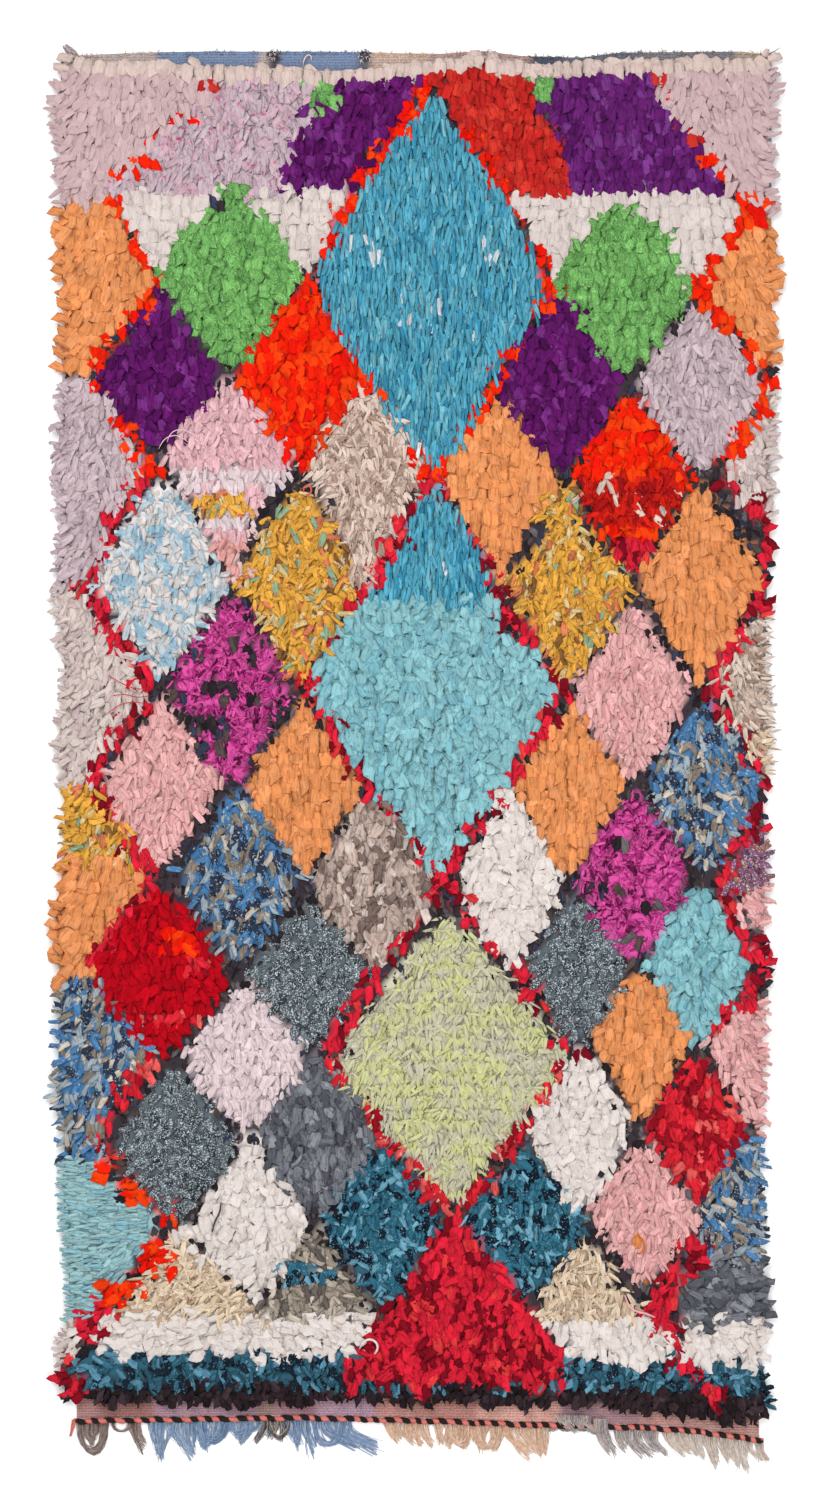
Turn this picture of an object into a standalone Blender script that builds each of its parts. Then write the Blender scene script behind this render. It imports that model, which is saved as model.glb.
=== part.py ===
"""A boucherouite rug, lying flat with its rag pile up.

Metres, +Z up. X runs across the rug and Y along it, with the header at +Y and the fringe at -Y.
The origin is on the ground cloth's underside, near its middle, and the cloth lies on z = 0.
"""

import math
from collections import namedtuple

import bmesh
import bpy
import numpy as np
from mathutils import Vector

# Driving sizes
GAP = 0.0003  # left between pieces that touch
CLOTH_THICK = 0.003
PILE_HIGH = 0.029  # tops of the tufts, over the floor
RIM_HIGH = 0.020  # tops of the outermost tufts
RIM_WIDE = 0.040  # over which the pile rises from its rim
LUMP = 0.007  # how far lumps stand up or sink
TUFT_ROW = 0.0025  # how far every second row stands up
SHIFT = 0.006  # how far lumps stray from their rows
ROWS, COLUMNS = 68, 36  # of lumps, along and across
UNDERCUT = 0.004  # how far the pile's wall draws in below
LOCK_OUT = 0.013  # mean reach of a lock past the pile's wall
LOCK_MARGIN = 0.004  # of wall left around the root of a lock
LOCK_SWAY = 0.005  # how far a lock's tip strays
LOCK_TIP = (0.006, 0.012)  # how low and high the tips droop
CORD_WIDE, CORD_HIGH = 0.009, 0.007  # the twined edge
STITCHES = 96  # of the twined edge, dark and light by turns
PINCH = 0.70  # a stitch's thickness where it dips under the next
SLANT = 0.55  # of a stitch, as a slope
STRIP_DEEP = 0.004  # the fringe's root strip
STRAND_WIDE, STRAND_HIGH = 0.0046, 0.0034
STRAND_STEPS = 3
SEED = 11

# Where the outer edges run
Side = namedtuple("Side", "along left right")
End = namedtuple("End", "across along")
PILE_SIDES = (
    Side(-1.210, -0.615, 0.640),
    Side(-1.170, -0.626, 0.646),
    Side(-1.120, -0.645, 0.634),
    Side(-1.065, -0.641, 0.627),
    Side(-1.010, -0.627, 0.637),
    Side(-0.920, -0.630, 0.628),
    Side(-0.780, -0.641, 0.628),
    Side(-0.690, -0.635, 0.625),
    Side(-0.610, -0.652, 0.632),
    Side(-0.490, -0.643, 0.630),
    Side(-0.400, -0.646, 0.639),
    Side(-0.330, -0.656, 0.634),
    Side(-0.200, -0.637, 0.636),
    Side(-0.100, -0.633, 0.632),
    Side(0.010, -0.649, 0.641),
    Side(0.080, -0.636, 0.638),
    Side(0.150, -0.633, 0.630),
    Side(0.260, -0.652, 0.635),
    Side(0.400, -0.641, 0.646),
    Side(0.490, -0.652, 0.644),
    Side(0.610, -0.640, 0.650),
    Side(0.700, -0.642, 0.650),
    Side(0.780, -0.633, 0.648),
    Side(0.860, -0.646, 0.652),
    Side(0.920, -0.651, 0.647),
    Side(0.960, -0.641, 0.643),
    Side(1.060, -0.642, 0.641),
    Side(1.150, -0.651, 0.648),
    Side(1.225, -0.630, 0.648),
)
SELVEDGES = (
    Side(-1.050, -0.610, 0.612),
    Side(-0.800, -0.613, 0.611),
    Side(-0.400, -0.625, 0.619),
    Side(0.000, -0.622, 0.620),
    Side(0.400, -0.627, 0.629),
    Side(0.800, -0.620, 0.634),
    Side(1.150, -0.630, 0.634),
)
HEADER_EDGE = (
    End(-0.630, 1.225),
    End(-0.500, 1.232),
    End(-0.380, 1.234),
    End(-0.160, 1.234),
    End(0.045, 1.230),
    End(0.125, 1.235),
    End(0.190, 1.226),
    End(0.295, 1.223),
    End(0.365, 1.232),
    End(0.580, 1.234),
    End(0.648, 1.226),
)
PILE_TOP = (
    End(-0.632, 1.219),
    End(-0.470, 1.218),
    End(-0.380, 1.209),
    End(-0.295, 1.209),
    End(-0.150, 1.202),
    End(-0.080, 1.206),
    End(0.045, 1.219),
    End(0.115, 1.231),
    End(0.190, 1.215),
    End(0.330, 1.222),
    End(0.510, 1.227),
    End(0.650, 1.224),
)
PILE_BOTTOM = (
    End(-0.628, -1.169),
    End(-0.400, -1.170),
    End(-0.240, -1.176),
    End(-0.170, -1.166),
    End(0.000, -1.172),
    End(0.180, -1.178),
    End(0.260, -1.170),
    End(0.330, -1.170),
    End(0.400, -1.184),
    End(0.460, -1.198),
    End(0.500, -1.188),
    End(0.530, -1.203),
    End(0.600, -1.205),
    End(0.645, -1.184),
)
TWINED_LINE = (
    End(-0.602, -1.202),
    End(-0.205, -1.196),
    End(0.062, -1.203),
    End(0.214, -1.209),
    End(0.418, -1.214),
    End(0.507, -1.221),
    End(0.618, -1.237),
)

# Bunches of warp ends: the strip they grow from, their roots and tips across the rug, length, strands
Bunch = namedtuple("Bunch", "strip root_from root_to tip_from tip_to length strands")
BUNCHES = (
    Bunch("fringe_brown", -0.598, -0.566, -0.586, -0.567, 0.056, 5),
    Bunch("fringe_brown", -0.558, -0.538, -0.560, -0.546, 0.048, 4),
    Bunch("fringe_brown", -0.506, -0.491, -0.500, -0.470, 0.064, 3),
    Bunch("fringe_blue_left", -0.468, -0.440, -0.462, -0.445, 0.078, 4),
    Bunch("fringe_blue_left", -0.434, -0.352, -0.406, -0.364, 0.075, 10),
    Bunch("fringe_blue_left", -0.344, -0.335, -0.356, -0.350, 0.044, 2),
    Bunch("fringe_blue_left", -0.327, -0.281, -0.320, -0.297, 0.050, 5),
    Bunch("fringe_mixed", -0.271, -0.265, -0.288, -0.281, 0.056, 2),
    Bunch("fringe_mixed", -0.257, -0.236, -0.266, -0.236, 0.052, 3),
    Bunch("fringe_blue_right", -0.226, -0.181, -0.217, -0.171, 0.068, 6),
    Bunch("fringe_blue_right", -0.172, -0.116, -0.118, -0.058, 0.066, 8),
    Bunch("fringe_tan", -0.052, 0.018, -0.041, 0.036, 0.053, 9),
    Bunch("fringe_tan", 0.059, 0.098, 0.066, 0.091, 0.064, 5),
    Bunch("fringe_tan", 0.106, 0.150, 0.105, 0.146, 0.060, 5),
    Bunch("fringe_tan", 0.158, 0.230, 0.194, 0.246, 0.056, 8),
    Bunch("fringe_grey", 0.252, 0.322, 0.262, 0.328, 0.014, 6),
    Bunch("fringe_grey", 0.332, 0.345, 0.345, 0.358, 0.070, 3),
    Bunch("fringe_grey", 0.358, 0.366, 0.369, 0.378, 0.068, 2),
    Bunch("fringe_grey", 0.375, 0.429, 0.402, 0.450, 0.068, 8),
    Bunch("fringe_cream", 0.444, 0.506, 0.474, 0.517, 0.060, 8),
    Bunch("fringe_cream", 0.514, 0.584, 0.529, 0.593, 0.066, 9),
    Bunch("fringe_cream", 0.591, 0.615, 0.612, 0.632, 0.058, 4),
)

# Loose ends at the corners: three places each, then how wide and high they start
Tail = namedtuple("Tail", "name x0 y0 x1 y1 x2 y2 wide high")
TAILS = (
    Tail("tail_header_left", -0.604, 1.2275, -0.615, 1.238, -0.622, 1.246, 0.014, 0.008),
    Tail("tail_header_right", 0.628, 1.2295, 0.640, 1.235, 0.650, 1.2415, 0.005, 0.003),
    Tail("tail_twined", -0.6060, -1.199, -0.609, -1.215, -0.613, -1.230, 0.006, 0.005),
)

# Linear red, green, blue of each piece
COLOURS = {
    "ground_weave": (0.62, 0.42, 0.36),
    "pile": (0.55, 0.36, 0.30),
    "twined_edge": (0.50, 0.20, 0.17),
    "fringe_brown": (0.26, 0.20, 0.18),
    "fringe_blue_left": (0.20, 0.28, 0.48),
    "fringe_mixed": (0.20, 0.16, 0.14),
    "fringe_blue_right": (0.20, 0.28, 0.48),
    "fringe_tan": (0.58, 0.38, 0.25),
    "fringe_grey": (0.38, 0.34, 0.36),
    "fringe_cream": (0.56, 0.49, 0.42),
    "tail_header_left": (0.40, 0.33, 0.33),
    "tail_header_right": (0.10, 0.14, 0.22),
    "tail_twined": (0.60, 0.24, 0.20),
}
ROUGHNESS = 0.92


def clear_scene():
    for item in list(bpy.data.objects):
        bpy.data.objects.remove(item, do_unlink=True)


def cloth_material(name):
    material = bpy.data.materials.new(name)
    material.use_nodes = True
    shader = material.node_tree.nodes["Principled BSDF"]
    shader.inputs["Base Color"].default_value = (*COLOURS[name], 1.0)
    shader.inputs["Roughness"].default_value = ROUGHNESS
    shader.inputs["Metallic"].default_value = 0.0
    return material


def add_object(name, bm):
    """Makes the object of this name from a closed mesh, with its faces turned outwards."""
    bmesh.ops.recalc_face_normals(bm, faces=bm.faces)
    mesh = bpy.data.meshes.new(name)
    bm.to_mesh(mesh)
    bm.free()
    item = bpy.data.objects.new(name, mesh)
    item.data.materials.append(cloth_material(name))
    bpy.context.scene.collection.objects.link(item)
    return item


def side_at(table, along, column):
    """A side's place across the rug, at a place along it."""
    return np.interp(along, [row.along for row in table], [getattr(row, column) for row in table])


def end_at(table, across):
    """An end's place along the rug, at a place across it."""
    return np.interp(across, [row.across for row in table], [row.along for row in table])


def zip_chains(bm, first, second):
    """Fills the band between two chains of points, which run the same way, with triangles."""
    a, b = 0, 0
    while a < len(first) - 1 or b < len(second) - 1:
        step_first = b == len(second) - 1
        if a < len(first) - 1 and b < len(second) - 1:
            over_first = (first[a + 1].co - second[b].co).length
            over_second = (first[a].co - second[b + 1].co).length
            step_first = over_first < over_second
        if step_first:
            bm.faces.new((first[a], first[a + 1], second[b]))
            a += 1
        else:
            bm.faces.new((first[a], second[b + 1], second[b]))
            b += 1


def join_rings(bm, first, second):
    """Joins two closed rings of as many points with four-sided faces."""
    count = len(first)
    for k in range(count):
        after = (k + 1) % count
        bm.faces.new((first[k], first[after], second[after], second[k]))


def fill_rows(bm, rows):
    """Fills a flat outline, given as rows of points across the rug."""
    for lower, upper in zip(rows, rows[1:]):
        zip_chains(bm, lower, upper)


def outline_of(rows):
    """The ring of points around such rows."""
    right = [row[-1] for row in rows[1:-1]]
    left = [row[0] for row in rows[-2:0:-1]]
    return list(rows[0]) + right + list(reversed(rows[-1])) + left


def ground_weave():
    """The cloth that carries the knots, with its header and its plain band at the fringe."""
    low = [(row.across, row.along + CORD_WIDE / 2 + GAP) for row in TWINED_LINE]
    sides = [[(row.left, row.along), (row.right, row.along)] for row in SELVEDGES]
    high = [(row.across, row.along) for row in HEADER_EDGE]
    bm = bmesh.new()
    levels = []
    for z in (0.0, CLOTH_THICK):
        rows = [[bm.verts.new((x, y, z)) for x, y in row] for row in (low, *sides, high)]
        fill_rows(bm, rows)
        levels.append(outline_of(rows))
    join_rings(bm, *levels)
    return add_object("ground_weave", bm)


def pile_places():
    """Places and heights of the pile's lumps, row by row from the fringe."""
    rng = np.random.default_rng(SEED)
    u, v = np.meshgrid(np.linspace(0.0, 1.0, COLUMNS + 1), np.linspace(0.0, 1.0, ROWS + 1))
    across = PILE_BOTTOM[0].across + u * (PILE_BOTTOM[-1].across - PILE_BOTTOM[0].across)
    low = end_at(PILE_BOTTOM, across) + LOCK_OUT
    high = end_at(PILE_TOP, across) - LOCK_OUT / 2
    y = low + (high - low) * v
    left = side_at(PILE_SIDES, y, "left") + LOCK_OUT
    right = side_at(PILE_SIDES, y, "right") - LOCK_OUT
    x = left + (right - left) * u
    inside = np.zeros_like(x)
    inside[1:-1, 1:-1] = 1.0
    x += inside * rng.uniform(-SHIFT, SHIFT, x.shape)
    y += inside * rng.uniform(-SHIFT, SHIFT, y.shape)
    from_rim = np.minimum(np.minimum(x - left, right - x), np.minimum(y - low, high - y))
    rise = np.sin(np.clip(from_rim / RIM_WIDE, 0.0, 1.0) * math.pi / 2)
    z = RIM_HIGH + (PILE_HIGH - RIM_HIGH) * rise
    z += rng.uniform(-LUMP, LUMP, z.shape) * (0.4 + 0.6 * rise)
    z[::2] += TUFT_ROW
    z[1::2] -= TUFT_ROW
    return x, y, z


def add_locks(bm, walls):
    """Draws a pointed lock out of each wall face, longer or shorter than the next."""
    rng = np.random.default_rng(SEED + 1)
    bmesh.ops.inset_individual(bm, faces=walls, thickness=LOCK_MARGIN, depth=0.0, use_even_offset=True)
    tips = bmesh.ops.poke(bm, faces=walls, offset=LOCK_OUT * 0.85)["verts"]
    for tip in tips:
        sway = Vector((rng.uniform(-1.0, 1.0), rng.uniform(-1.0, 1.0), 0.0)) * LOCK_SWAY
        tip.co += sway
        tip.co.z = rng.uniform(*LOCK_TIP)


def pile():
    """The rag pile: one lumpy slab on the cloth, with locks at its rim."""
    x, y, z = pile_places()
    bm = bmesh.new()
    top = [[bm.verts.new(place) for place in zip(*row)] for row in zip(x, y, z)]
    for lower, upper in zip(top, top[1:]):
        for k in range(COLUMNS):
            bm.faces.new((lower[k], lower[k + 1], upper[k + 1], upper[k]))
    floor = CLOTH_THICK + GAP
    base = []
    for j, row in enumerate(top):
        picked = row if j in (0, ROWS) else (row[0], row[-1])
        base.append([])
        for vertex in picked:
            inward_x = -math.copysign(UNDERCUT, vertex.co.x)
            inward_y = math.copysign(UNDERCUT, ROWS / 2 - j) if j in (0, ROWS) else 0.0
            place = (vertex.co.x + inward_x, vertex.co.y + inward_y, floor)
            base[-1].append(bm.verts.new(place))
    fill_rows(bm, base)
    rim = outline_of([top[0], *[(row[0], row[-1]) for row in top[1:-1]], top[-1]])
    join_rings(bm, outline_of(base), rim)
    bmesh.ops.recalc_face_normals(bm, faces=bm.faces)
    rim_set, base_set = set(rim), {vertex for row in base for vertex in row}
    walls = [
        face
        for face in bm.faces
        if sum(v in rim_set for v in face.verts) == 2 and sum(v in base_set for v in face.verts) == 2
    ]
    add_locks(bm, walls)
    return add_object("pile", bm)


def twined_edge():
    """The two-colour cord that locks the band's end: stitches that dip under each other."""
    bm = bmesh.new()
    half = CORD_WIDE / 2
    section = ((-half, 0.35), (-half * 0.7, 0.0), (half * 0.7, 0.0), (half, 0.35), (0.0, 1.0))
    rings = []
    places = np.linspace(TWINED_LINE[0].across, TWINED_LINE[-1].across, 2 * STITCHES + 1)
    for k, x in enumerate(places):
        size = PINCH if k % 2 == 0 else 1.0
        y = end_at(TWINED_LINE, x)
        rings.append(
            [
                bm.verts.new((x + SLANT * off * size, y + off * size, CORD_HIGH * rise * size))
                for off, rise in section
            ]
        )
    for first, second in zip(rings, rings[1:]):
        join_rings(bm, first, second)
    bm.faces.new(rings[0])
    bm.faces.new(rings[-1])
    return add_object("twined_edge", bm)


def strands_of():
    """Every strand of the fringe, in order across the rug: its strip, length and places."""
    rng = np.random.default_rng(SEED + 2)
    strands = []
    for bunch in BUNCHES:
        roots = np.linspace(bunch.root_from, bunch.root_to, bunch.strands)
        tips = np.linspace(bunch.tip_from, bunch.tip_to, bunch.strands)
        for root, tip in zip(roots, tips):
            length = bunch.length * rng.uniform(0.86, 1.0)
            steps = np.linspace(0.0, 1.0, STRAND_STEPS + 1)
            lean = (tip - root) * steps * (1.3 - 0.3 * steps)
            strands.append((bunch.strip, root + lean, steps * length))
    return strands


def strand_widths(strands):
    """Half widths of the strands at each step, so that neighbours stay apart."""
    lanes = np.array([places for _, places, _ in strands])
    room = np.full_like(lanes, STRAND_WIDE)
    between = np.diff(lanes, axis=0) * 0.62
    room[1:] = np.minimum(room[1:], between)
    room[:-1] = np.minimum(room[:-1], between)
    taper = np.linspace(1.0, 0.5, STRAND_STEPS + 1)
    return room * taper / 2


def fringe_strip(name, members):
    """A root strip along the twined edge, and the strands that grow from its front."""
    bm = bmesh.new()
    offset = CORD_WIDE / 2 + GAP
    first, last = members[0], members[-1]
    ends = (first[1][0] - first[3][0] - 0.0006, last[1][0] + last[3][0] + 0.0006)
    bends = [row.across for row in TWINED_LINE if ends[0] < row.across < ends[1]]
    back_x = [ends[0], *bends, ends[1]]
    front_x = [ends[0]]
    for _, places, _, halves in members:
        front_x += [places[0] - halves[0], places[0] + halves[0]]
    front_x.append(ends[1])
    chains = []
    for z in (0.0, STRAND_HIGH):
        back = [bm.verts.new((x, end_at(TWINED_LINE, x) - offset, z)) for x in back_x]
        front = [bm.verts.new((x, end_at(TWINED_LINE, x) - offset - STRIP_DEEP, z)) for x in front_x]
        zip_chains(bm, front, back)
        chains.append((back, front))
    (back_low, front_low), (back_high, front_high) = chains
    zip_chains(bm, back_low, back_high)
    for left, right in ((back_low[0], front_low[0]), (back_low[-1], front_low[-1])):
        high = (back_high[0], front_high[0]) if left is back_low[0] else (back_high[-1], front_high[-1])
        bm.faces.new((left, right, high[1], high[0]))
    for k in range(0, len(front_x) - 1, 2):
        bm.faces.new((front_low[k], front_low[k + 1], front_high[k + 1], front_high[k]))
    for k, (_, places, reach, halves) in enumerate(members):
        at = 2 * k + 1
        ring = [front_low[at], front_low[at + 1], front_high[at + 1], front_high[at]]
        start = end_at(TWINED_LINE, places[0]) - offset - STRIP_DEEP
        for x, away, half in zip(places[1:], reach[1:], halves[1:]):
            high = STRAND_HIGH * (1.0 - 0.45 * away / reach[-1])
            corners = ((x - half, 0.0), (x + half, 0.0), (x + half * 0.8, high), (x - half * 0.8, high))
            after = [bm.verts.new((cx, start - away, cz)) for cx, cz in corners]
            join_rings(bm, ring, after)
            ring = after
        bm.faces.new(ring)
    return add_object(name, bm)


def fringes():
    strands = strands_of()
    halves = strand_widths(strands)
    for name in dict.fromkeys(bunch.strip for bunch in BUNCHES):
        members = [(*strand, half) for strand, half in zip(strands, halves) if strand[0] == name]
        fringe_strip(name, members)


def tail(row):
    """A loose end that lies on the floor, tapering to its tip."""
    bm = bmesh.new()
    places = ((row.x0, row.y0, 1.0), (row.x1, row.y1, 0.9), (row.x2, row.y2, 0.45))
    rings = []
    for x, y, size in places:
        half, high = row.wide * size / 2, row.high * size
        corners = ((-half, 0.0), (half, 0.0), (half * 0.6, high), (-half * 0.6, high))
        rings.append([bm.verts.new((x + cx, y, cz)) for cx, cz in corners])
    for first, second in zip(rings, rings[1:]):
        join_rings(bm, first, second)
    bm.faces.new(rings[0])
    bm.faces.new(rings[-1])
    return add_object(row.name, bm)


def main():
    clear_scene()
    ground_weave()
    pile()
    twined_edge()
    fringes()
    for row in TAILS:
        tail(row)


main()
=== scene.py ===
"""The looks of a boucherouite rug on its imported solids: a shag of knotted rags over its woven ground.

Metres, +Z up, with the header at +Y and the fringe at -Y. Places in the chart of yarns are in the
photograph's pixels, which to_metres() turns into places on the rug.
"""

import math
from collections import namedtuple

import bpy
import numpy as np
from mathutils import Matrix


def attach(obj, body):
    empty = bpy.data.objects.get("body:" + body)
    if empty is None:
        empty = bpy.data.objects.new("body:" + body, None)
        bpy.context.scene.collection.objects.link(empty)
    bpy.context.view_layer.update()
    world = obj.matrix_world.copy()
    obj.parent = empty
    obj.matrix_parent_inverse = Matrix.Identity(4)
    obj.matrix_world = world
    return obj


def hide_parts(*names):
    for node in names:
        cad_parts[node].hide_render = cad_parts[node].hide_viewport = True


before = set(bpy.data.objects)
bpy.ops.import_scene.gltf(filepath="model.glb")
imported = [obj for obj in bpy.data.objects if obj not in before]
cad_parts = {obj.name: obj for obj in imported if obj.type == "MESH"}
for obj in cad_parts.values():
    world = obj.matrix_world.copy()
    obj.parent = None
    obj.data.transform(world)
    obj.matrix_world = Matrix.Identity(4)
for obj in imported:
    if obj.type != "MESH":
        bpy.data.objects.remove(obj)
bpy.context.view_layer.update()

# The photograph's scale
PIXEL = 0.00178  # metres
CENTRE_X, CENTRE_Y = 415.0, 745.0  # the pixel of the rug's own middle
VIEW_X, VIEW_Y = 419.5, 750.0  # the pixel that the camera looks at
VIEW_LENGTH = 2.67  # metres that the frame's long side takes in

# The pile
CLOTH_THICK = 0.003
ROWS, COLUMNS = 113, 71  # of knots
TOP_INSET, TOP_INSET_RIGHT = 0.0045, 0.0085  # from the pile's outline to the roots of its rim
TOP_LEFT, TOP_RIGHT = 0.15, 0.25  # places across the rug between which that changes
BOTTOM_INSET = 0.023
SIDE_INSET = 0.024
ROOT_HIGH = 0.012
RIM_WIDE, RIM_LONG = 0.70, 0.86  # of strips at the rim, to the others
EDGE_WIDE, EDGE_LONG = 0.80, 0.88  # of strips at a lozenge's edge
RED_WIDE, RED_LONG = 0.86, 0.90  # of strips in the red outlines
DARK_WIDE, DARK_LONG = 0.66, 0.74  # of strips in the dark outlines
SEA_LONG = 0.76  # of strips in the field that is combed aside
DARK_SUNK = 0.0025  # how much lower the dark outlines are
FOLD_ALONG = 0.020  # of the creases in a strip
JITTER = 0.0022  # how far knots stray from their rows
GRID_LEFT, GRID_WIDE = -0.63, 1.27  # across the rug, for the rows before its sides are found
VISIBLE = 0.014  # from a knot to the middle of what shows of its strips
CHART_JITTER = 2.2  # pixels by which the chart's edges are ragged
COMBED = 16.0  # pixels from the rim within which strips lie outwards
COMBED_RAGGED = 5.0  # pixels by which that limit wanders
LEANING = 100.0  # pixels from the rim within which strips lean aside
BED_LOW, BED_HIGH = 0.0165, 0.0205  # the dense roots between the strips
# Painted shade: the roots between the strips are coloured darker than the strips
BED_SHADE = 0.80  # of the roots, to the strips, in yarns with deep creases
ABOVE_FLOOR = 0.0002  # the lowest that any strip or thread comes
DIMMED = 0.84  # of cloth colours, as the studio's light is that much over 1
SEED = 23

# Where the outer edges run, in metres, as in the solids
Side = namedtuple("Side", "along left right")
End = namedtuple("End", "across along")
PILE_SIDES = (
    Side(-1.210, -0.615, 0.640),
    Side(-1.170, -0.626, 0.646),
    Side(-1.120, -0.645, 0.634),
    Side(-1.065, -0.641, 0.627),
    Side(-1.010, -0.627, 0.637),
    Side(-0.920, -0.630, 0.628),
    Side(-0.780, -0.641, 0.628),
    Side(-0.690, -0.635, 0.625),
    Side(-0.610, -0.652, 0.632),
    Side(-0.490, -0.643, 0.630),
    Side(-0.400, -0.646, 0.639),
    Side(-0.330, -0.656, 0.634),
    Side(-0.200, -0.637, 0.636),
    Side(-0.100, -0.633, 0.632),
    Side(0.010, -0.649, 0.641),
    Side(0.080, -0.636, 0.638),
    Side(0.150, -0.633, 0.630),
    Side(0.260, -0.652, 0.635),
    Side(0.400, -0.641, 0.646),
    Side(0.490, -0.652, 0.644),
    Side(0.610, -0.640, 0.650),
    Side(0.700, -0.642, 0.650),
    Side(0.780, -0.633, 0.648),
    Side(0.860, -0.646, 0.652),
    Side(0.920, -0.651, 0.647),
    Side(0.960, -0.641, 0.643),
    Side(1.060, -0.642, 0.641),
    Side(1.150, -0.651, 0.648),
    Side(1.225, -0.630, 0.648),
)
SELVEDGES = (
    Side(-1.050, -0.610, 0.612),
    Side(-0.800, -0.613, 0.611),
    Side(-0.400, -0.625, 0.619),
    Side(0.000, -0.622, 0.620),
    Side(0.400, -0.627, 0.629),
    Side(0.800, -0.620, 0.634),
    Side(1.150, -0.630, 0.634),
)
HEADER_EDGE = (
    End(-0.630, 1.225),
    End(-0.500, 1.232),
    End(-0.380, 1.234),
    End(-0.160, 1.234),
    End(0.045, 1.230),
    End(0.125, 1.235),
    End(0.190, 1.226),
    End(0.295, 1.223),
    End(0.365, 1.232),
    End(0.580, 1.234),
    End(0.648, 1.226),
)
PILE_TOP = (
    End(-0.632, 1.219),
    End(-0.470, 1.218),
    End(-0.380, 1.209),
    End(-0.295, 1.209),
    End(-0.150, 1.202),
    End(-0.080, 1.206),
    End(0.045, 1.219),
    End(0.115, 1.231),
    End(0.190, 1.215),
    End(0.330, 1.222),
    End(0.510, 1.227),
    End(0.650, 1.224),
)
PILE_BOTTOM = (
    End(-0.628, -1.169),
    End(-0.400, -1.170),
    End(-0.240, -1.176),
    End(-0.170, -1.166),
    End(0.000, -1.172),
    End(0.180, -1.178),
    End(0.260, -1.170),
    End(0.330, -1.170),
    End(0.400, -1.184),
    End(0.460, -1.198),
    End(0.500, -1.188),
    End(0.530, -1.203),
    End(0.600, -1.205),
    End(0.645, -1.184),
)
TWINED_LINE = (
    End(-0.602, -1.202),
    End(-0.205, -1.196),
    End(0.062, -1.203),
    End(0.214, -1.209),
    End(0.418, -1.214),
    End(0.507, -1.221),
    End(0.618, -1.237),
)

# Bunches of warp ends: the strip they grow from, their roots and tips across the rug, length, strands,
# and how far over the band they start
Bunch = namedtuple("Bunch", "strip root_from root_to tip_from tip_to length strands over", defaults=(0.0,))
BUNCHES = (
    Bunch("fringe_brown", -0.592, -0.566, -0.582, -0.567, 0.060, 4),
    Bunch("fringe_brown", -0.506, -0.491, -0.500, -0.470, 0.064, 3),
    Bunch("fringe_blue_left", -0.468, -0.440, -0.462, -0.445, 0.078, 4),
    Bunch("fringe_blue_left", -0.434, -0.352, -0.406, -0.364, 0.075, 10),
    Bunch("fringe_blue_left", -0.344, -0.335, -0.356, -0.350, 0.044, 2),
    Bunch("fringe_blue_left", -0.327, -0.281, -0.320, -0.297, 0.050, 5),
    Bunch("fringe_mixed", -0.271, -0.265, -0.288, -0.281, 0.056, 2),
    Bunch("fringe_mixed", -0.257, -0.236, -0.266, -0.236, 0.052, 3),
    Bunch("fringe_blue_right", -0.226, -0.181, -0.217, -0.171, 0.068, 6),
    Bunch("fringe_blue_right", -0.172, -0.116, -0.118, -0.058, 0.066, 8),
    Bunch("fringe_tan", -0.052, 0.018, -0.041, 0.036, 0.053, 9),
    Bunch("fringe_tan", 0.038, 0.098, 0.044, 0.091, 0.064, 8),
    Bunch("fringe_tan", 0.106, 0.150, 0.105, 0.146, 0.060, 5),
    Bunch("fringe_tan", 0.158, 0.236, 0.202, 0.234, 0.066, 9),
    Bunch("fringe_grey", 0.240, 0.312, 0.232, 0.318, 0.014, 7),
    Bunch("fringe_grey", 0.256, 0.304, 0.274, 0.330, 0.044, 5, 0.022),
    Bunch("fringe_grey", 0.320, 0.340, 0.342, 0.358, 0.086, 4, 0.017),
    Bunch("fringe_grey", 0.358, 0.366, 0.369, 0.378, 0.068, 2),
    Bunch("fringe_grey", 0.375, 0.429, 0.402, 0.450, 0.068, 8),
    Bunch("fringe_cream", 0.444, 0.506, 0.474, 0.517, 0.060, 8),
    Bunch("fringe_cream", 0.514, 0.584, 0.529, 0.593, 0.066, 9),
    Bunch("fringe_cream", 0.591, 0.615, 0.612, 0.632, 0.058, 4),
)

# Warp ends left as loops: the strip they grow from, both roots, how far they hang, and their threads
Loop = namedtuple("Loop", "strip left right hang threads")
LOOPS = (
    Loop("fringe_brown", -0.596, -0.552, 0.058, 22),
    Loop("fringe_brown", -0.536, -0.508, 0.020, 8),
    Loop("fringe_blue_left", -0.380, -0.334, 0.044, 16),
    Loop("fringe_blue_left", -0.330, -0.298, 0.026, 10),
    Loop("fringe_mixed", -0.258, -0.226, 0.036, 6),
    Loop("fringe_blue_right", -0.176, -0.130, 0.050, 18),
    Loop("fringe_tan", 0.064, 0.096, 0.044, 12),
    Loop("fringe_tan", 0.112, 0.146, 0.046, 14),
)

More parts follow.
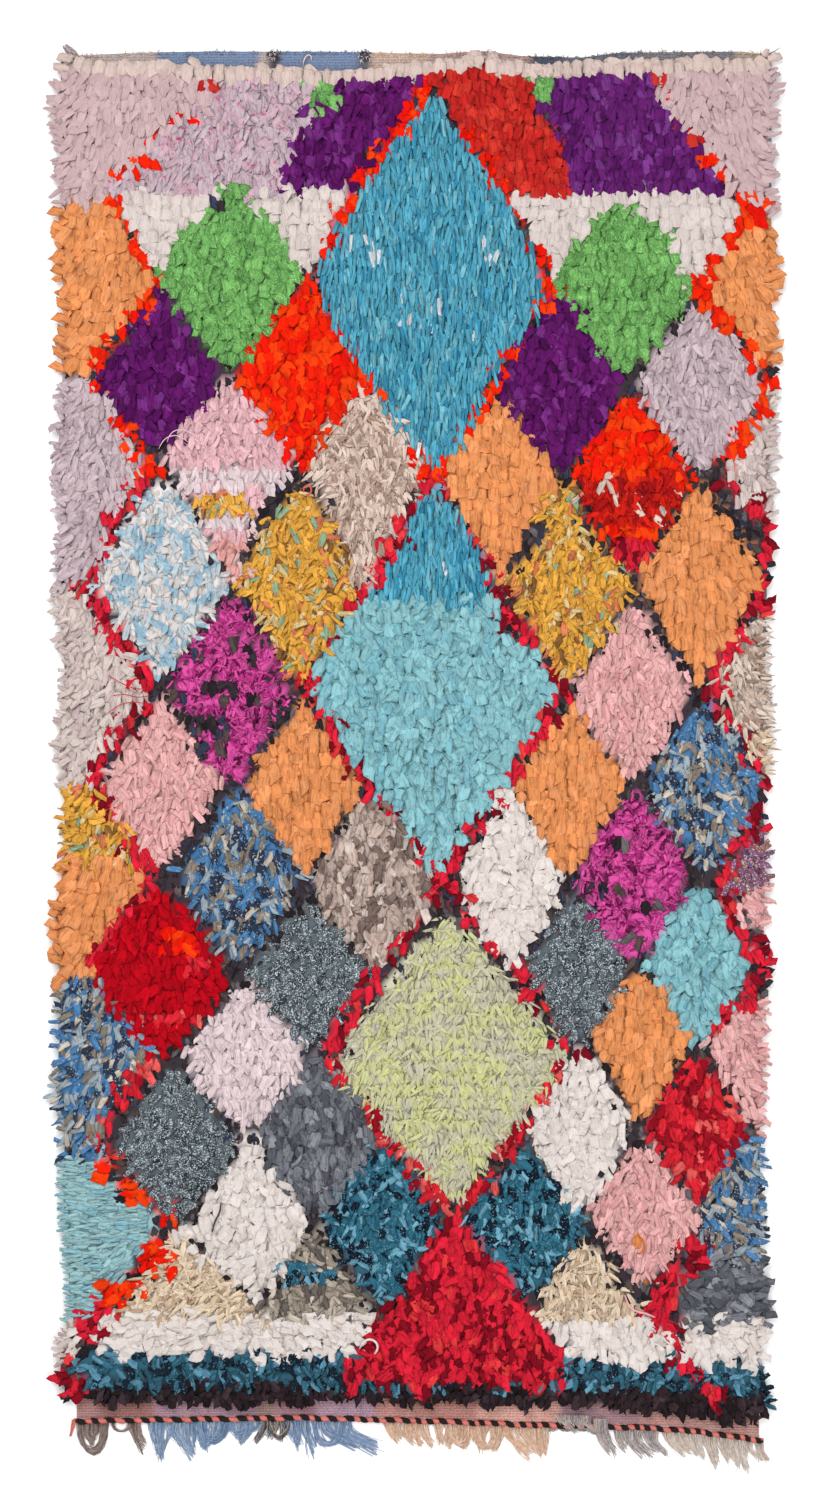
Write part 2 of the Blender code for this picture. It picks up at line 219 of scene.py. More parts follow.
# The chart, in pixels. Lozenges: middle, how far they reach aside, up and down, yarn, and how round their
# upper and lower sides are, 1 for straight ones
Lozenge = namedtuple("Lozenge", "x y aside up down yarn upper lower", defaults=(1.12, 1.12))
LOZENGES = (
    Lozenge(450, 1062, 118, 152, 152, "lime", 1.06, 1.06),
    Lozenge(232, 288, 68, 88, 92, "green", 2.0, 1.04),
    Lozenge(161, 375, 61, 84, 82, "purple", 0.88, 1.25),
    Lozenge(301, 378, 65, 84, 96, "red_orange", 1.15, 1.15),
    Lozenge(229, 466, 66, 80, 118, "rose", 1.3, 0.92),
    Lozenge(366, 470, 56, 80, 116, "beige", 1.35, 1.1),
    Lozenge(161, 590, 67, 107, 95, "sky", 1.25, 1.05),
    Lozenge(301, 584, 59, 94, 110, "mustard", 1.15, 1.1),
    Lozenge(232, 693, 61, 92, 98, "magenta", 1.15, 1.15),
    Lozenge(161, 787, 59, 88, 90, "pink", 1.04, 1.08),
    Lozenge(304, 789, 61, 92, 92, "orange", 0.94, 1.04),
    Lozenge(241, 880, 60, 88, 90, "blue_mix"),
    Lozenge(374, 885, 60, 83, 86, "taupe", 1.3, 1.35),
    Lozenge(160, 980, 70, 84, 84, "deep_red", 1.25, 1.15),
    Lozenge(310, 980, 60, 76, 74, "lurex"),
    Lozenge(247, 1062, 60, 79, 76, "pale_pink"),
    Lozenge(318, 1136, 62, 84, 79, "slate", 1.04, 1.3),
    Lozenge(176, 1147, 60, 77, 83, "lurex"),
    Lozenge(382, 1226, 60, 86, 86, "teal"),
    Lozenge(252, 1228, 58, 80, 76, "white_rag"),
    Lozenge(623, 292, 71, 92, 90, "green", 1.4, 1.15),
    Lozenge(560, 386, 62, 90, 95, "purple", 1.1, 1.2),
    Lozenge(700, 386, 64, 82, 94, "lavender", 1.05, 1.2),
    Lozenge(499, 484, 59, 86, 98, "orange", 1.2, 1.0),
    Lozenge(631, 483, 60, 84, 106, "red_orange", 1.15, 1.04),
    Lozenge(700, 584, 62, 96, 102, "orange", 1.15, 1.1),
    Lozenge(569, 588, 62, 72, 108, "mustard", 1.05, 1.08),
    Lozenge(632, 700, 60, 90, 84, "pink", 1.15, 1.1),
    Lozenge(705, 790, 60, 80, 90, "blue_mix", 1.2, 1.1),
    Lozenge(569, 788, 59, 84, 96, "orange", 1.06, 1.0),
    Lozenge(511, 883, 52, 86, 90, "white_rag"),
    Lozenge(632, 884, 56, 86, 86, "magenta", 1.25, 1.3),
    Lozenge(698, 966, 52, 74, 86, "turquoise"),
    Lozenge(577, 974, 50, 77, 82, "lurex"),
    Lozenge(642, 1040, 50, 68, 90, "orange", 1.3, 1.0),
    Lozenge(579, 1132, 52, 80, 82, "white_rag"),
    Lozenge(697, 1130, 50, 72, 76, "coral_red", 1.15, 1.1),
    Lozenge(644, 1217, 54, 76, 74, "pink", 1.1, 1.15),
    Lozenge(526, 1228, 60, 78, 76, "teal"),
)
# Painted shade: the dark knots stand for the dark gaps between the magenta threads
LEFT_GAPS, RIGHT_GAPS = 0.16, 0.05  # dark knots among the magenta ones, by lozenge
MIDDLE = 400  # pixels across, between the left lozenges and the right ones
LOZENGE_EDGE = 0.95  # share of its size that a lozenge's own yarn fills
LOZENGE_RIM = 0.80  # share of its size from which its strips are narrower

# Zones of the chart, in pixels: where the upper turquoise is cyan, where the outlines change their red,
# and where strips lie another way
Zone = namedtuple("Zone", "left right top bottom")
CYAN_ZONE = Zone(380, 500, 480, 602)
RED_ZONE = Zone(0, 250, 1160, 1320)
CRIMSON_FROM, CORAL_FROM, FOOT_FROM = 480, 1060, 1300
LEVEL_ZONE = Zone(0, 840, 1146, 1312)
PARTED_ZONE = Zone(80, 366, 1314, 1350)
PARTED_AT = (190.0, 280.0)
BACK_ZONE = Zone(110, 262, 1240, 1314)
RIGHT_ZONE = Zone(680, 840, 1245, 1330)

# Fields with other outlines: yarn and corners
Field = namedtuple("Field", "yarn corners")
FIELDS = (
    Field("cream", ((40, 50), (790, 50), (790, 78), (648, 78), (548, 80), (534, 88), (515, 74), (452, 74),
                    (430, 92), (420, 81), (340, 84), (312, 84), (215, 82), (150, 76), (40, 74))),
    Field("mauve", ((40, 74), (150, 76), (212, 82), (207, 100), (188, 122), (158, 150), (126, 176),
                    (106, 202), (40, 204))),
    Field("blush", ((212, 84), (314, 84), (314, 118), (296, 150), (288, 199), (108, 199), (126, 176),
                    (158, 150), (188, 122), (207, 100))),
    Field("purple", ((314, 84), (422, 81), (412, 104), (392, 124), (368, 156), (350, 199), (284, 199),
                     (282, 178), (290, 150), (312, 118))),
    Field("tomato", ((438, 84), (452, 74), (515, 74), (532, 88), (536, 134), (550, 130), (562, 160),
                     (570, 199), (502, 199), (474, 146), (452, 112))),
    Field("plum", ((536, 80), (650, 78), (656, 98), (672, 120), (694, 146), (718, 180), (708, 199),
                     (568, 199), (562, 152), (548, 124), (538, 112), (536, 94))),
    Field("mauve", ((650, 78), (790, 76), (790, 218), (744, 216), (736, 196), (712, 172), (694, 146),
                    (672, 120), (656, 98))),
    Field("white", ((110, 196), (348, 194), (338, 216), (322, 246), (300, 287), (165, 287), (152, 264),
                    (134, 236), (112, 212))),
    Field("white", ((508, 197), (570, 194), (712, 190), (738, 202), (738, 216), (722, 246), (700, 280),
                    (694, 290), (557, 290), (548, 268), (534, 244), (520, 218))),
    Field("cyan", ((431, 97), (394, 145), (354, 200), (324, 262), (320, 296), (368, 380), (403, 440),
                   (430, 482), (460, 440), (487, 380), (541, 302), (544, 286), (520, 240), (498, 198),
                   (466, 148))),
    Field("turquoise", ((436, 486), (410, 525), (393, 565), (368, 602), (328, 645), (318, 684), (324, 708),
                        (350, 750), (385, 800), (414, 845), (436, 872), (453, 850), (480, 810), (510, 765),
                        (547, 705), (552, 685), (535, 655), (500, 645), (492, 605), (484, 560), (462, 525))),
    Field("orange", ((30, 204), (102, 202), (112, 216), (128, 240), (144, 268), (153, 290), (146, 304),
                     (124, 334), (104, 350), (98, 375), (30, 375))),
    Field("lavender", ((30, 375), (97, 379), (110, 404), (122, 438), (144, 470), (124, 500), (106, 530),
                       (100, 558), (84, 588), (30, 588))),
    Field("mist", ((30, 588), (80, 594), (96, 622), (118, 650), (144, 690), (138, 710), (104, 744),
                   (96, 764), (98, 785), (30, 785))),
    Field("mustard", ((30, 785), (92, 785), (98, 800), (118, 818), (126, 836), (130, 862), (30, 862))),
    Field("orange", ((30, 862), (134, 862), (146, 877), (132, 902), (118, 922), (102, 948), (86, 980),
                     (30, 980))),
    Field("blue_mix", ((30, 980), (94, 984), (108, 1008), (134, 1040), (148, 1056), (130, 1078),
                       (114, 1100), (100, 1125), (98, 1152), (30, 1152))),
    Field("sea", ((30, 1152), (96, 1160), (112, 1182), (122, 1202), (152, 1216), (157, 1236),
                  (138, 1258), (128, 1274), (104, 1294), (98, 1317), (30, 1317))),
    Field("orange", ((800, 218), (755, 223), (724, 254), (706, 286), (708, 300), (736, 334), (762, 366),
                     (800, 374))),
    Field("mist", ((800, 384), (768, 392), (750, 426), (730, 456), (726, 476), (746, 500), (766, 524),
                   (772, 546), (780, 562), (800, 562))),
    Field("beige_print", ((800, 620), (752, 622), (736, 646), (724, 666), (722, 692), (724, 714), (736, 730),
                          (762, 738), (800, 738))),
    Field("tan_yellow", ((746, 740), (800, 738), (800, 786), (758, 776), (750, 756))),
    Field("print", ((744, 826), (800, 824), (800, 884), (748, 886), (734, 906), (720, 896), (730, 876),
                    (746, 856))),
    Field("pink", ((800, 884), (748, 888), (738, 905), (748, 926), (768, 946), (800, 948))),
    Field("pink", ((800, 986), (742, 1006), (722, 1026), (710, 1046), (716, 1060), (728, 1086), (748, 1106),
                   (756, 1132), (800, 1138))),
    Field("blue_mix", ((800, 1144), (728, 1146), (722, 1166), (714, 1190), (706, 1202), (700, 1226),
                       (704, 1252), (800, 1256))),
    Field("slate", ((684, 1264), (720, 1254), (800, 1254), (800, 1326), (688, 1326), (682, 1300))),
    Field("tan_yellow", ((184, 1240), (205, 1262), (236, 1290), (258, 1316), (118, 1318), (140, 1290),
                         (164, 1262))),
    Field("grey_mix", ((292, 1252), (320, 1236), (328, 1256), (346, 1282), (370, 1310), (366, 1322),
                       (264, 1322), (268, 1300), (284, 1276))),
    Field("white_rag", ((30, 1320), (86, 1318), (368, 1318), (362, 1340), (348, 1353), (76, 1354), (30, 1350))),
    Field("teal_band", ((76, 1354), (800, 1354), (800, 1401), (752, 1398), (720, 1390), (350, 1387),
                        (76, 1387))),
    Field("white_rag", ((538, 1320), (652, 1320), (664, 1340), (674, 1360), (620, 1362), (576, 1356),
                        (562, 1340))),
    Field("white_rag", ((676, 1326), (800, 1320), (800, 1366), (700, 1368), (684, 1350))),
    Field("tan_yellow", ((582, 1243), (600, 1262), (612, 1290), (642, 1320), (537, 1320), (545, 1300),
                         (562, 1270))),
    Field("crimson", ((452, 1212), (465, 1235), (480, 1252), (495, 1264), (511, 1290), (522, 1310),
                      (536, 1330), (560, 1350), (570, 1370), (562, 1386), (352, 1386), (347, 1370),
                      (368, 1335), (385, 1318), (405, 1295), (414, 1275), (427, 1255), (440, 1235))),
    Field("aubergine", ((30, 1387), (350, 1387), (720, 1390), (752, 1398), (800, 1401), (800, 1450),
                        (30, 1450))),
)

# Red outlines: how far they reach to either side, in pixels, their share of the knots there, and corners
Stroke = namedtuple("Stroke", "reach share corners")
STROKES = (
    Stroke(7, 0.66, ((104, 197), (116, 214), (134, 240), (150, 268), (158, 290), (132, 330), (104, 352),
                     (98, 380), (112, 405), (126, 438), (150, 472), (128, 502), (110, 530), (104, 560),
                     (84, 590), (104, 622), (124, 650), (148, 690), (142, 712), (110, 745), (98, 768),
                     (96, 796), (124, 822), (134, 850), (150, 877), (138, 902), (104, 948), (90, 982))),
    Stroke(7, 0.68, ((150, 1060), (132, 1082), (104, 1126), (98, 1156))),
    Stroke(7, 0.68, ((756, 214), (726, 246), (700, 284), (702, 300), (736, 334), (764, 372), (776, 380),
                     (750, 426), (726, 460), (726, 480), (748, 502), (768, 530), (776, 580), (752, 618),
                     (734, 646), (720, 668), (716, 700), (732, 736), (750, 762), (772, 790), (764, 812),
                     (740, 850), (724, 884), (730, 910), (752, 950), (774, 968), (740, 1004), (712, 1038))),
    Stroke(7, 0.85, ((704, 1250), (704, 1268), (676, 1276), (666, 1296), (656, 1316), (668, 1340),
                     (686, 1362), (702, 1380), (716, 1398))),
    Stroke(8, 0.58, ((428, 88), (398, 132), (356, 190), (320, 260), (310, 290), (332, 332), (366, 390),
                     (402, 446), (430, 484), (406, 522), (388, 560), (356, 602), (320, 648), (308, 686),
                     (330, 730), (362, 778), (398, 828), (440, 886), (414, 926), (384, 966), (350, 1010),
                     (326, 1060), (362, 1106), (402, 1156), (440, 1206))),
    Stroke(8, 0.58, ((470, 140), (502, 188), (522, 226), (546, 270), (553, 295), (530, 332), (496, 386),
                     (466, 440), (440, 480), (466, 522), (492, 566), (502, 622), (546, 656), (560, 692),
                     (530, 746), (496, 800), (440, 886), (476, 920), (512, 966), (546, 1010), (576, 1056),
                     (546, 1100), (510, 1150), (466, 1208))),
)
# Dabs of red along an outline: how much goes by place and not by chance, and how closely they follow
DABBED = 0.45
DAB_DOWN, DAB_ACROSS = 0.27, 0.19  # radians a pixel

# Small patches inside the fields
Patch = namedtuple("Patch", "yarn x y half_wide half_high inside")
PATCHES = (
    Patch("cyan_print", 356, 246, 6, 6, "cyan"),
    Patch("cyan_print", 374, 250, 6, 6, "cyan"),
    Patch("cyan_print", 401, 299, 5, 6, "cyan"),
    Patch("cyan_print", 409, 323, 5, 6, "cyan"),
    Patch("cyan_print", 424, 453, 6, 7, "cyan"),
    Patch("cyan_print", 441, 262, 6, 6, "cyan"),
    Patch("cyan_print", 480, 250, 6, 6, "cyan"),
    Patch("cyan_print", 491, 253, 5, 6, "cyan"),
    Patch("cyan_print", 426, 319, 6, 6, "cyan"),
    Patch("cyan_print", 443, 313, 5, 6, "cyan"),
    Patch("cyan_print", 479, 336, 6, 6, "cyan"),
    Patch("cyan_print", 447, 564, 6, 6, "cyan"),
    Patch("green", 325, 101, 12, 13, ""),
    Patch("green", 541, 97, 9, 12, ""),
    Patch("pale_pink", 228, 481, 60, 9, "rose"),
    Patch("mustard", 226, 507, 24, 9, "rose"),
    Patch("pale_pink", 226, 527, 36, 9, "rose"),
    Patch("salmon", 232, 562, 40, 24, "rose"),
    Patch("red_print", 632, 502, 52, 26, "red_orange"),
    Patch("crimson", 636, 570, 30, 26, "red_orange"),
    Patch("coral_red", 168, 1018, 30, 6, "deep_red"),
    Patch("red_orange", 180, 944, 11, 10, "deep_red"),
    Patch("coral_red", 198, 962, 9, 10, "deep_red"),
    # Painted shade: dark knots in the left magenta lozenge stand for a dark gap between its threads
    Patch("charcoal", 205, 726, 17, 9, "magenta"),
    Patch("magenta", 228, 766, 20, 14, ""),
    Patch("magenta", 236, 786, 9, 6, ""),
    Patch("salmon", 239, 574, 8, 9, ""),
    Patch("beige", 361, 579, 7, 11, ""),
    Patch("green", 236, 203, 11, 9, ""),
    Patch("charcoal", 217, 207, 6, 7, "white"),
    Patch("mustard", 559, 508, 16, 20, ""),
    Patch("orange", 501, 574, 6, 9, ""),
    Patch("white_rag", 252, 1160, 11, 18, ""),
    Patch("white_rag", 504, 800, 7, 8, ""),
    Patch("teal", 305, 1276, 30, 8, "grey_mix"),
    Patch("tomato", 207, 90, 7, 9, ""),
    Patch("red_orange", 181, 124, 8, 6, ""),
    Patch("red_orange", 155, 147, 7, 6, ""),
    Patch("red_orange", 142, 168, 9, 4, ""),
    Patch("red_orange", 125, 177, 8, 4, ""),
    Patch("tomato", 651, 78, 5, 8, ""),
    Patch("red_orange", 658, 96, 6, 6, ""),
    Patch("tomato", 679, 128, 7, 5, ""),
    Patch("tomato", 696, 143, 5, 6, ""),
    Patch("red_orange", 708, 168, 8, 6, ""),
    Patch("red_orange", 730, 180, 9, 4, ""),
    Patch("red_orange", 742, 197, 6, 5, ""),
    Patch("red_orange", 758, 218, 9, 7, ""),
    Patch("mist", 54, 1337, 20, 17, ""),
    Patch("charcoal", 83, 1346, 9, 5, ""),
    Patch("crimson", 90, 1329, 14, 12, ""),
    Patch("crimson", 68, 1357, 11, 6, ""),
    Patch("crimson", 57, 1375, 9, 9, ""),
    Patch("charcoal", 76, 1375, 9, 4, ""),
    Patch("crimson", 76, 1388, 10, 8, ""),
    Patch("red_orange", 99, 1169, 9, 7, ""),
    Patch("red_orange", 116, 1170, 8, 5, ""),
    Patch("red_orange", 126, 1189, 6, 9, ""),
    Patch("red_orange", 140, 1202, 15, 7, ""),
    Patch("red_orange", 166, 1214, 9, 6, ""),
    Patch("red_orange", 155, 1260, 16, 12, ""),
    Patch("red_orange", 130, 1285, 13, 7, ""),
    Patch("red_orange", 113, 1295, 14, 6, ""),
    Patch("crimson", 104, 1307, 8, 6, ""),
    Patch("white_rag", 191, 1236, 12, 5, ""),
    Patch("white_rag", 200, 1258, 12, 5, ""),
    Patch("crimson", 690, 1247, 12, 6, ""),
    Patch("crimson", 702, 1266, 9, 7, ""),
    Patch("crimson", 668, 1292, 10, 8, ""),
    Patch("crimson", 656, 1316, 8, 7, ""),
    Patch("crimson", 668, 1338, 8, 9, ""),
    Patch("crimson", 685, 1359, 9, 6, ""),
    Patch("crimson", 700, 1379, 8, 8, ""),
    Patch("crimson", 714, 1396, 8, 8, ""),
    Patch("orange", 640, 1243, 5, 9, "pink"),
    Patch("orange", 643, 1288, 6, 6, "pink"),
)

# How the rags lie: strips a knot, rings and corners of a strip, its size, how far strips stray, crumple,
# narrow to the tip, curl and roll, how fine their creases are, and the painted shade along their edges
Style = namedtuple("Style", "strips rings corners wide long stray crumple tip curl thick roll fold edge")
STYLES = {
    "block": Style(1, 6, 6, 0.0235, 0.038, 0.12, 0.0017, 0.88, 0.18, 0.0044, 0.16, 0.0032, 0.50),
    "petal": Style(2, 6, 4, 0.0204, 0.036, 0.42, 0.0022, 0.90, 0.20, 0.0024, 0.44, 0.0032, 0.50),
    "leaf": Style(2, 6, 4, 0.0180, 0.037, 0.44, 0.0022, 0.84, 0.22, 0.0024, 0.48, 0.0032, 0.46),
    "soft": Style(3, 5, 4, 0.0145, 0.040, 0.32, 0.0014, 0.66, 0.20, 0.0022, 0.28, 0.0018, 0.92),
    "crinkle": Style(3, 5, 4, 0.0130, 0.034, 0.42, 0.0020, 0.78, 0.26, 0.0024, 0.40, 0.0028, 0.60),
    "strip": Style(4, 5, 4, 0.0082, 0.042, 0.15, 0.0011, 0.66, 0.26, 0.0022, 0.36, 0.0028, 0.44),
    "feather": Style(6, 4, 3, 0.0076, 0.038, 0.50, 0.0012, 0.24, 0.24, 0.0014, 0.50, 0.0009, 0.96),
    "shingle": Style(2, 6, 4, 0.0184, 0.036, 0.22, 0.0020, 0.94, 0.20, 0.0024, 0.34, 0.0032, 0.50),
    "clump": Style(3, 6, 4, 0.0160, 0.031, 0.60, 0.0032, 0.86, 0.28, 0.0030, 0.66, 0.0018, 0.50),
    "fuzz": Style(7, 4, 3, 0.0058, 0.027, 1.10, 0.0026, 0.50, 0.30, 0.0020, 0.90, 0.0016, 0.60),
    "crumb": Style(3, 5, 4, 0.0125, 0.032, 0.75, 0.0024, 0.80, 0.28, 0.0024, 0.60, 0.0028, 0.44),
    "loose": Style(3, 5, 4, 0.0120, 0.037, 0.60, 0.0020, 0.78, 0.22, 0.0022, 0.48, 0.0028, 0.50),
}

# Yarns: how they lie, how strong their mottle and their painted shade in creases and along strip edges are,
# the colours of their strips by share, and flecks in the cloth. In patchy yarns the colours go by place and
# not by strip. Colours are as seen, 0 to 255
Yarn = namedtuple("Yarn", "style depth colours flecks patchy", defaults=(None, False))
Tone = namedtuple("Tone", "share red green blue")
Fleck = namedtuple("Fleck", "scale cover red green blue")
YARNS = {
    "cream": Yarn("block", 0.38, (Tone(1, 208, 187, 179),)),
    "mauve": Yarn("soft", 0.24, (Tone(3, 198, 170, 172), Tone(1, 204, 177, 179))),
    "blush": Yarn("crinkle", 0.60, (Tone(3, 200, 178, 188), Tone(1, 206, 172, 184)),
                  Fleck(90.0, 0.12, 200, 116, 150)),
    "lavender": Yarn("crinkle", 0.60, (Tone(3, 204, 184, 190), Tone(1, 192, 171, 178))),
    "mist": Yarn("crinkle", 0.55, (Tone(2, 216, 200, 194), Tone(1, 204, 184, 182))),
    "white": Yarn("block", 0.34, (Tone(1, 211, 198, 193),)),
    "white_rag": Yarn("petal", 0.26, (Tone(2, 224, 214, 209), Tone(1, 218, 207, 201))),
    "pale_pink": Yarn("crinkle", 0.55, (Tone(1, 228, 208, 211),)),
    "beige_print": Yarn("feather", 0.80, (Tone(3, 234, 214, 200), Tone(2, 214, 188, 170), Tone(1, 172, 142, 126))),
    "print": Yarn("loose", 0.9, (Tone(2, 140, 92, 122), Tone(1, 160, 112, 104), Tone(1, 112, 84, 128)),
                  Fleck(330.0, 0.30, 216, 200, 210)),
    "purple": Yarn("petal", 1.0, (Tone(3, 104, 24, 107), Tone(1, 126, 48, 134), Tone(1, 88, 14, 90))),
    "plum": Yarn("shingle", 1.0, (Tone(3, 110, 35, 118), Tone(1, 128, 58, 142), Tone(1, 94, 24, 102))),
    "tomato": Yarn("shingle", 0.9, (Tone(2, 200, 40, 36), Tone(1, 214, 56, 44))),
    "green": Yarn("petal", 0.9, (Tone(1, 120, 184, 98), Tone(1, 106, 168, 88)), Fleck(420.0, 0.30, 160, 210, 142)),
    "cyan": Yarn("strip", 1.0, (Tone(4, 89, 173, 199), Tone(1, 64, 151, 185), Tone(1, 118, 188, 206))),
    "cyan_print": Yarn("strip", 0.8, (Tone(1, 214, 222, 228), Tone(1, 96, 176, 200))),
    "turquoise": Yarn("petal", 0.75, (Tone(3, 144, 198, 206), Tone(1, 128, 186, 198))),
    "sea": Yarn("strip", 0.75, (Tone(3, 161, 201, 205), Tone(1, 140, 190, 203))),
    "lime": Yarn("feather", 0.26, (Tone(2, 200, 195, 174), Tone(2, 208, 205, 172), Tone(1, 214, 217, 148),
                                   Tone(1, 204, 200, 178)), None, True),
    "orange": Yarn("block", 0.8, (Tone(2, 234, 150, 92), Tone(1, 240, 158, 102))),
    "red_orange": Yarn("petal", 0.70, (Tone(3, 250, 34, 2), Tone(2, 255, 66, 10), Tone(1, 240, 20, 4))),
    "red_print": Yarn("loose", 0.9, (Tone(7, 220, 34, 22), Tone(1, 230, 204, 188), Tone(4, 176, 20, 22))),
    "crimson": Yarn("leaf", 1.0, (Tone(8, 232, 36, 60), Tone(1, 240, 62, 64), Tone(3, 138, 12, 32))),
    "deep_red": Yarn("leaf", 0.8, (Tone(3, 200, 4, 26), Tone(1, 186, 2, 24))),
    "coral_red": Yarn("leaf", 1.0, (Tone(3, 232, 40, 56), Tone(1, 244, 98, 94), Tone(2, 166, 16, 36))),
    "salmon": Yarn("crinkle", 0.7, (Tone(2, 232, 168, 162), Tone(1, 232, 196, 192))),
    "pink": Yarn("crinkle", 0.75, (Tone(3, 238, 182, 180), Tone(1, 230, 168, 168))),
    "rose": Yarn("crinkle", 0.65, (Tone(3, 232, 186, 192), Tone(1, 226, 176, 184))),
    "beige": Yarn("feather", 0.66, (Tone(4, 236, 212, 198), Tone(3, 216, 188, 172), Tone(2, 182, 152, 136))),
    "sky": Yarn("loose", 0.5, (Tone(3, 218, 211, 208), Tone(2, 192, 205, 212)), Fleck(36.0, 0.46, 154, 187, 206)),
    "mustard": Yarn("loose", 0.9, (Tone(9, 238, 176, 72), Tone(2, 232, 204, 146), Tone(1, 222, 128, 90),
                                   Tone(1, 150, 182, 150), Tone(1, 140, 98, 56)), Fleck(150.0, 0.14, 178, 112, 64)),
    "magenta": Yarn("fuzz", 1.0, (Tone(4, 232, 88, 172), Tone(2, 198, 52, 140), Tone(1, 110, 26, 76))),
    "blue_mix": Yarn("loose", 0.9, (Tone(6, 80, 132, 182), Tone(4, 162, 176, 186), Tone(4, 146, 134, 122),
                                    Tone(2, 210, 198, 182), Tone(4, 50, 62, 86)), Fleck(210.0, 0.20, 180, 180, 178)),
    "taupe": Yarn("leaf", 1.0, (Tone(3, 200, 177, 166), Tone(2, 136, 116, 108), Tone(1, 220, 202, 192))),
    "lurex": Yarn("crumb", 1.0, (Tone(2, 100, 112, 120), Tone(1, 64, 74, 82)), Fleck(380.0, 0.42, 206, 214, 218)),
    "slate": Yarn("leaf", 1.0, (Tone(2, 122, 124, 133), Tone(1, 92, 94, 103), Tone(1, 148, 150, 158))),
    "teal": Yarn("crumb", 1.0, (Tone(4, 52, 114, 138), Tone(2, 22, 34, 52), Tone(2, 118, 178, 202)),
                 Fleck(300.0, 0.18, 122, 166, 184)),
    "teal_band": Yarn("crumb", 1.0, (Tone(5, 54, 104, 124), Tone(3, 28, 42, 58), Tone(3, 98, 154, 180)),
                      Fleck(300.0, 0.12, 110, 154, 174)),
    "tan_yellow": Yarn("feather", 0.6, (Tone(4, 246, 224, 196), Tone(3, 236, 210, 180), Tone(2, 206, 178, 150))),
    "grey_mix": Yarn("crumb", 1.0, (Tone(2, 170, 158, 144), Tone(1, 114, 106, 100), Tone(1, 208, 194, 178))),
    "aubergine": Yarn("clump", 1.0, (Tone(3, 54, 41, 46), Tone(1, 72, 57, 62), Tone(1, 40, 30, 34))),
    "charcoal": Yarn("leaf", 1.0, (Tone(3, 62, 54, 60), Tone(3, 46, 39, 44), Tone(1, 112, 104, 108),
                                   Tone(1, 92, 80, 76), Tone(1, 62, 66, 88))),
}

# Rings of a strip: shares of its length
STATIONS = {
    4: (0.0, 0.35, 0.72, 1.0),
    5: (0.0, 0.30, 0.56, 0.82, 1.0),
    6: (0.0, 0.26, 0.46, 0.66, 0.86, 1.0),
}
# Corners of a strip's section: share of its half width, and which face of the cloth they are on
SECTIONS = {
    3: ((-1.0, 0.0), (0.0, 1.0), (1.0, 0.0)),
    4: ((-1.0, 0.0), (-0.05, 1.0), (1.0, 0.0), (0.05, -1.0)),
    6: ((-1.0, 0.0), (-0.5, 1.0), (0.5, 1.0), (1.0, 0.0), (0.5, -1.0), (-0.5, -1.0)),
}
PATCHES_FROM, PATCHES_OVER = 0.34, 0.34  # of the noise that places the tones of patchy yarns
MOST_LEAN = 0.95  # radians aside at the rim
LIFT, FALL = 1.42, -0.14  # radians over the ground at the root and where a strip lies
BEND_END = 0.62  # share of its length where it has come to lie
LIFT_STRAY, FALL_STRAY, STEP_STRAY = 0.12, 0.10, 0.09  # radians by which those differ
RING_WIDTHS, STRIP_WIDTHS = (0.84, 1.14), (0.85, 1.15)  # shares of the usual width, by ring and strip
TIP_THICK = 0.55  # thickness at the tip, to the rest
CURL_SHARES = (0.5, 1.4)  # of the usual curl
TIP_SLANT = 0.9  # how far a tip may be cut slantwise, to its half width
CREASE_SPREAD = 300.0  # so that each strip has its own creases
SPACING = 0.72  # between the strips of a knot, to their width
LENGTHS = (0.84, 1.10)  # shares of the usual length
# The low strips under the wide blocks: width, crumple, roll, how far they turn, stray and reach
LOW_WIDE, LOW_CRUMPLE, LOW_ROLL, LOW_TURN, LOW_MOST = 0.017, 0.0015, 0.5, 0.8, 1.3
LOW_STRAY, LOW_LENGTHS = 0.004, (0.66, 0.90)
ROW_LENGTHS = (0.66, 1.16)  # of strips in the ragged dark row at the foot
LUMPY = 0.0009  # how much knots rise and fall over the rug


def linear(red, green, blue):
    """A cloth's own colour, in linear light, from its colour as seen in the studio, 0 to 255."""
    shares = (red / 255, green / 255, blue / 255)
    return tuple(DIMMED * (s / 12.92 if s <= 0.04045 else ((s + 0.055) / 1.055) ** 2.4) for s in shares)


def to_metres(px, py):
    return (px - CENTRE_X) * PIXEL, (CENTRE_Y - py) * PIXEL


def to_pixels(x, y):
    return x / PIXEL + CENTRE_X, CENTRE_Y - y / PIXEL


def side_at(table, along, column):
    """A side's place across the rug, at a place along it."""
    return np.interp(along, [row.along for row in table], [getattr(row, column) for row in table])


def end_at(table, across):
    """An end's place along the rug, at a place across it."""
    return np.interp(across, [row.across for row in table], [row.along for row in table])


def pile_top(across):
    """Where the roots of the top rim run along the rug."""
    return end_at(PILE_TOP, across) - np.interp(across, (TOP_LEFT, TOP_RIGHT), (TOP_INSET, TOP_INSET_RIGHT))


def smooth(share):
    share = np.clip(share, 0.0, 1.0)
    return share * share * (3.0 - 2.0 * share)


def inside(corners, x, y):
    """Whether places lie in a closed outline."""
    hit = np.zeros(x.shape, bool)
    for (ax, ay), (bx, by) in zip(corners, corners[1:] + corners[:1]):
        crosses = (ay > y) != (by > y)
        if ay != by:
            hit ^= crosses & (x < (bx - ax) * (y - ay) / (by - ay) + ax)
    return hit


def distance(corners, x, y):
    """How far places lie from an open line."""
    least = np.full(x.shape, 1e9)
    for (ax, ay), (bx, by) in zip(corners, corners[1:]):
        run = (bx - ax) ** 2 + (by - ay) ** 2
        t = np.clip(((x - ax) * (bx - ax) + (y - ay) * (by - ay)) / run, 0.0, 1.0)
        least = np.minimum(least, np.hypot(x - ax - t * (bx - ax), y - ay - t * (by - ay)))
    return least


def within(zone, x, y):
    """Whether places lie in a zone."""
    return (x > zone.left) & (x < zone.right) & (y > zone.top) & (y < zone.bottom)


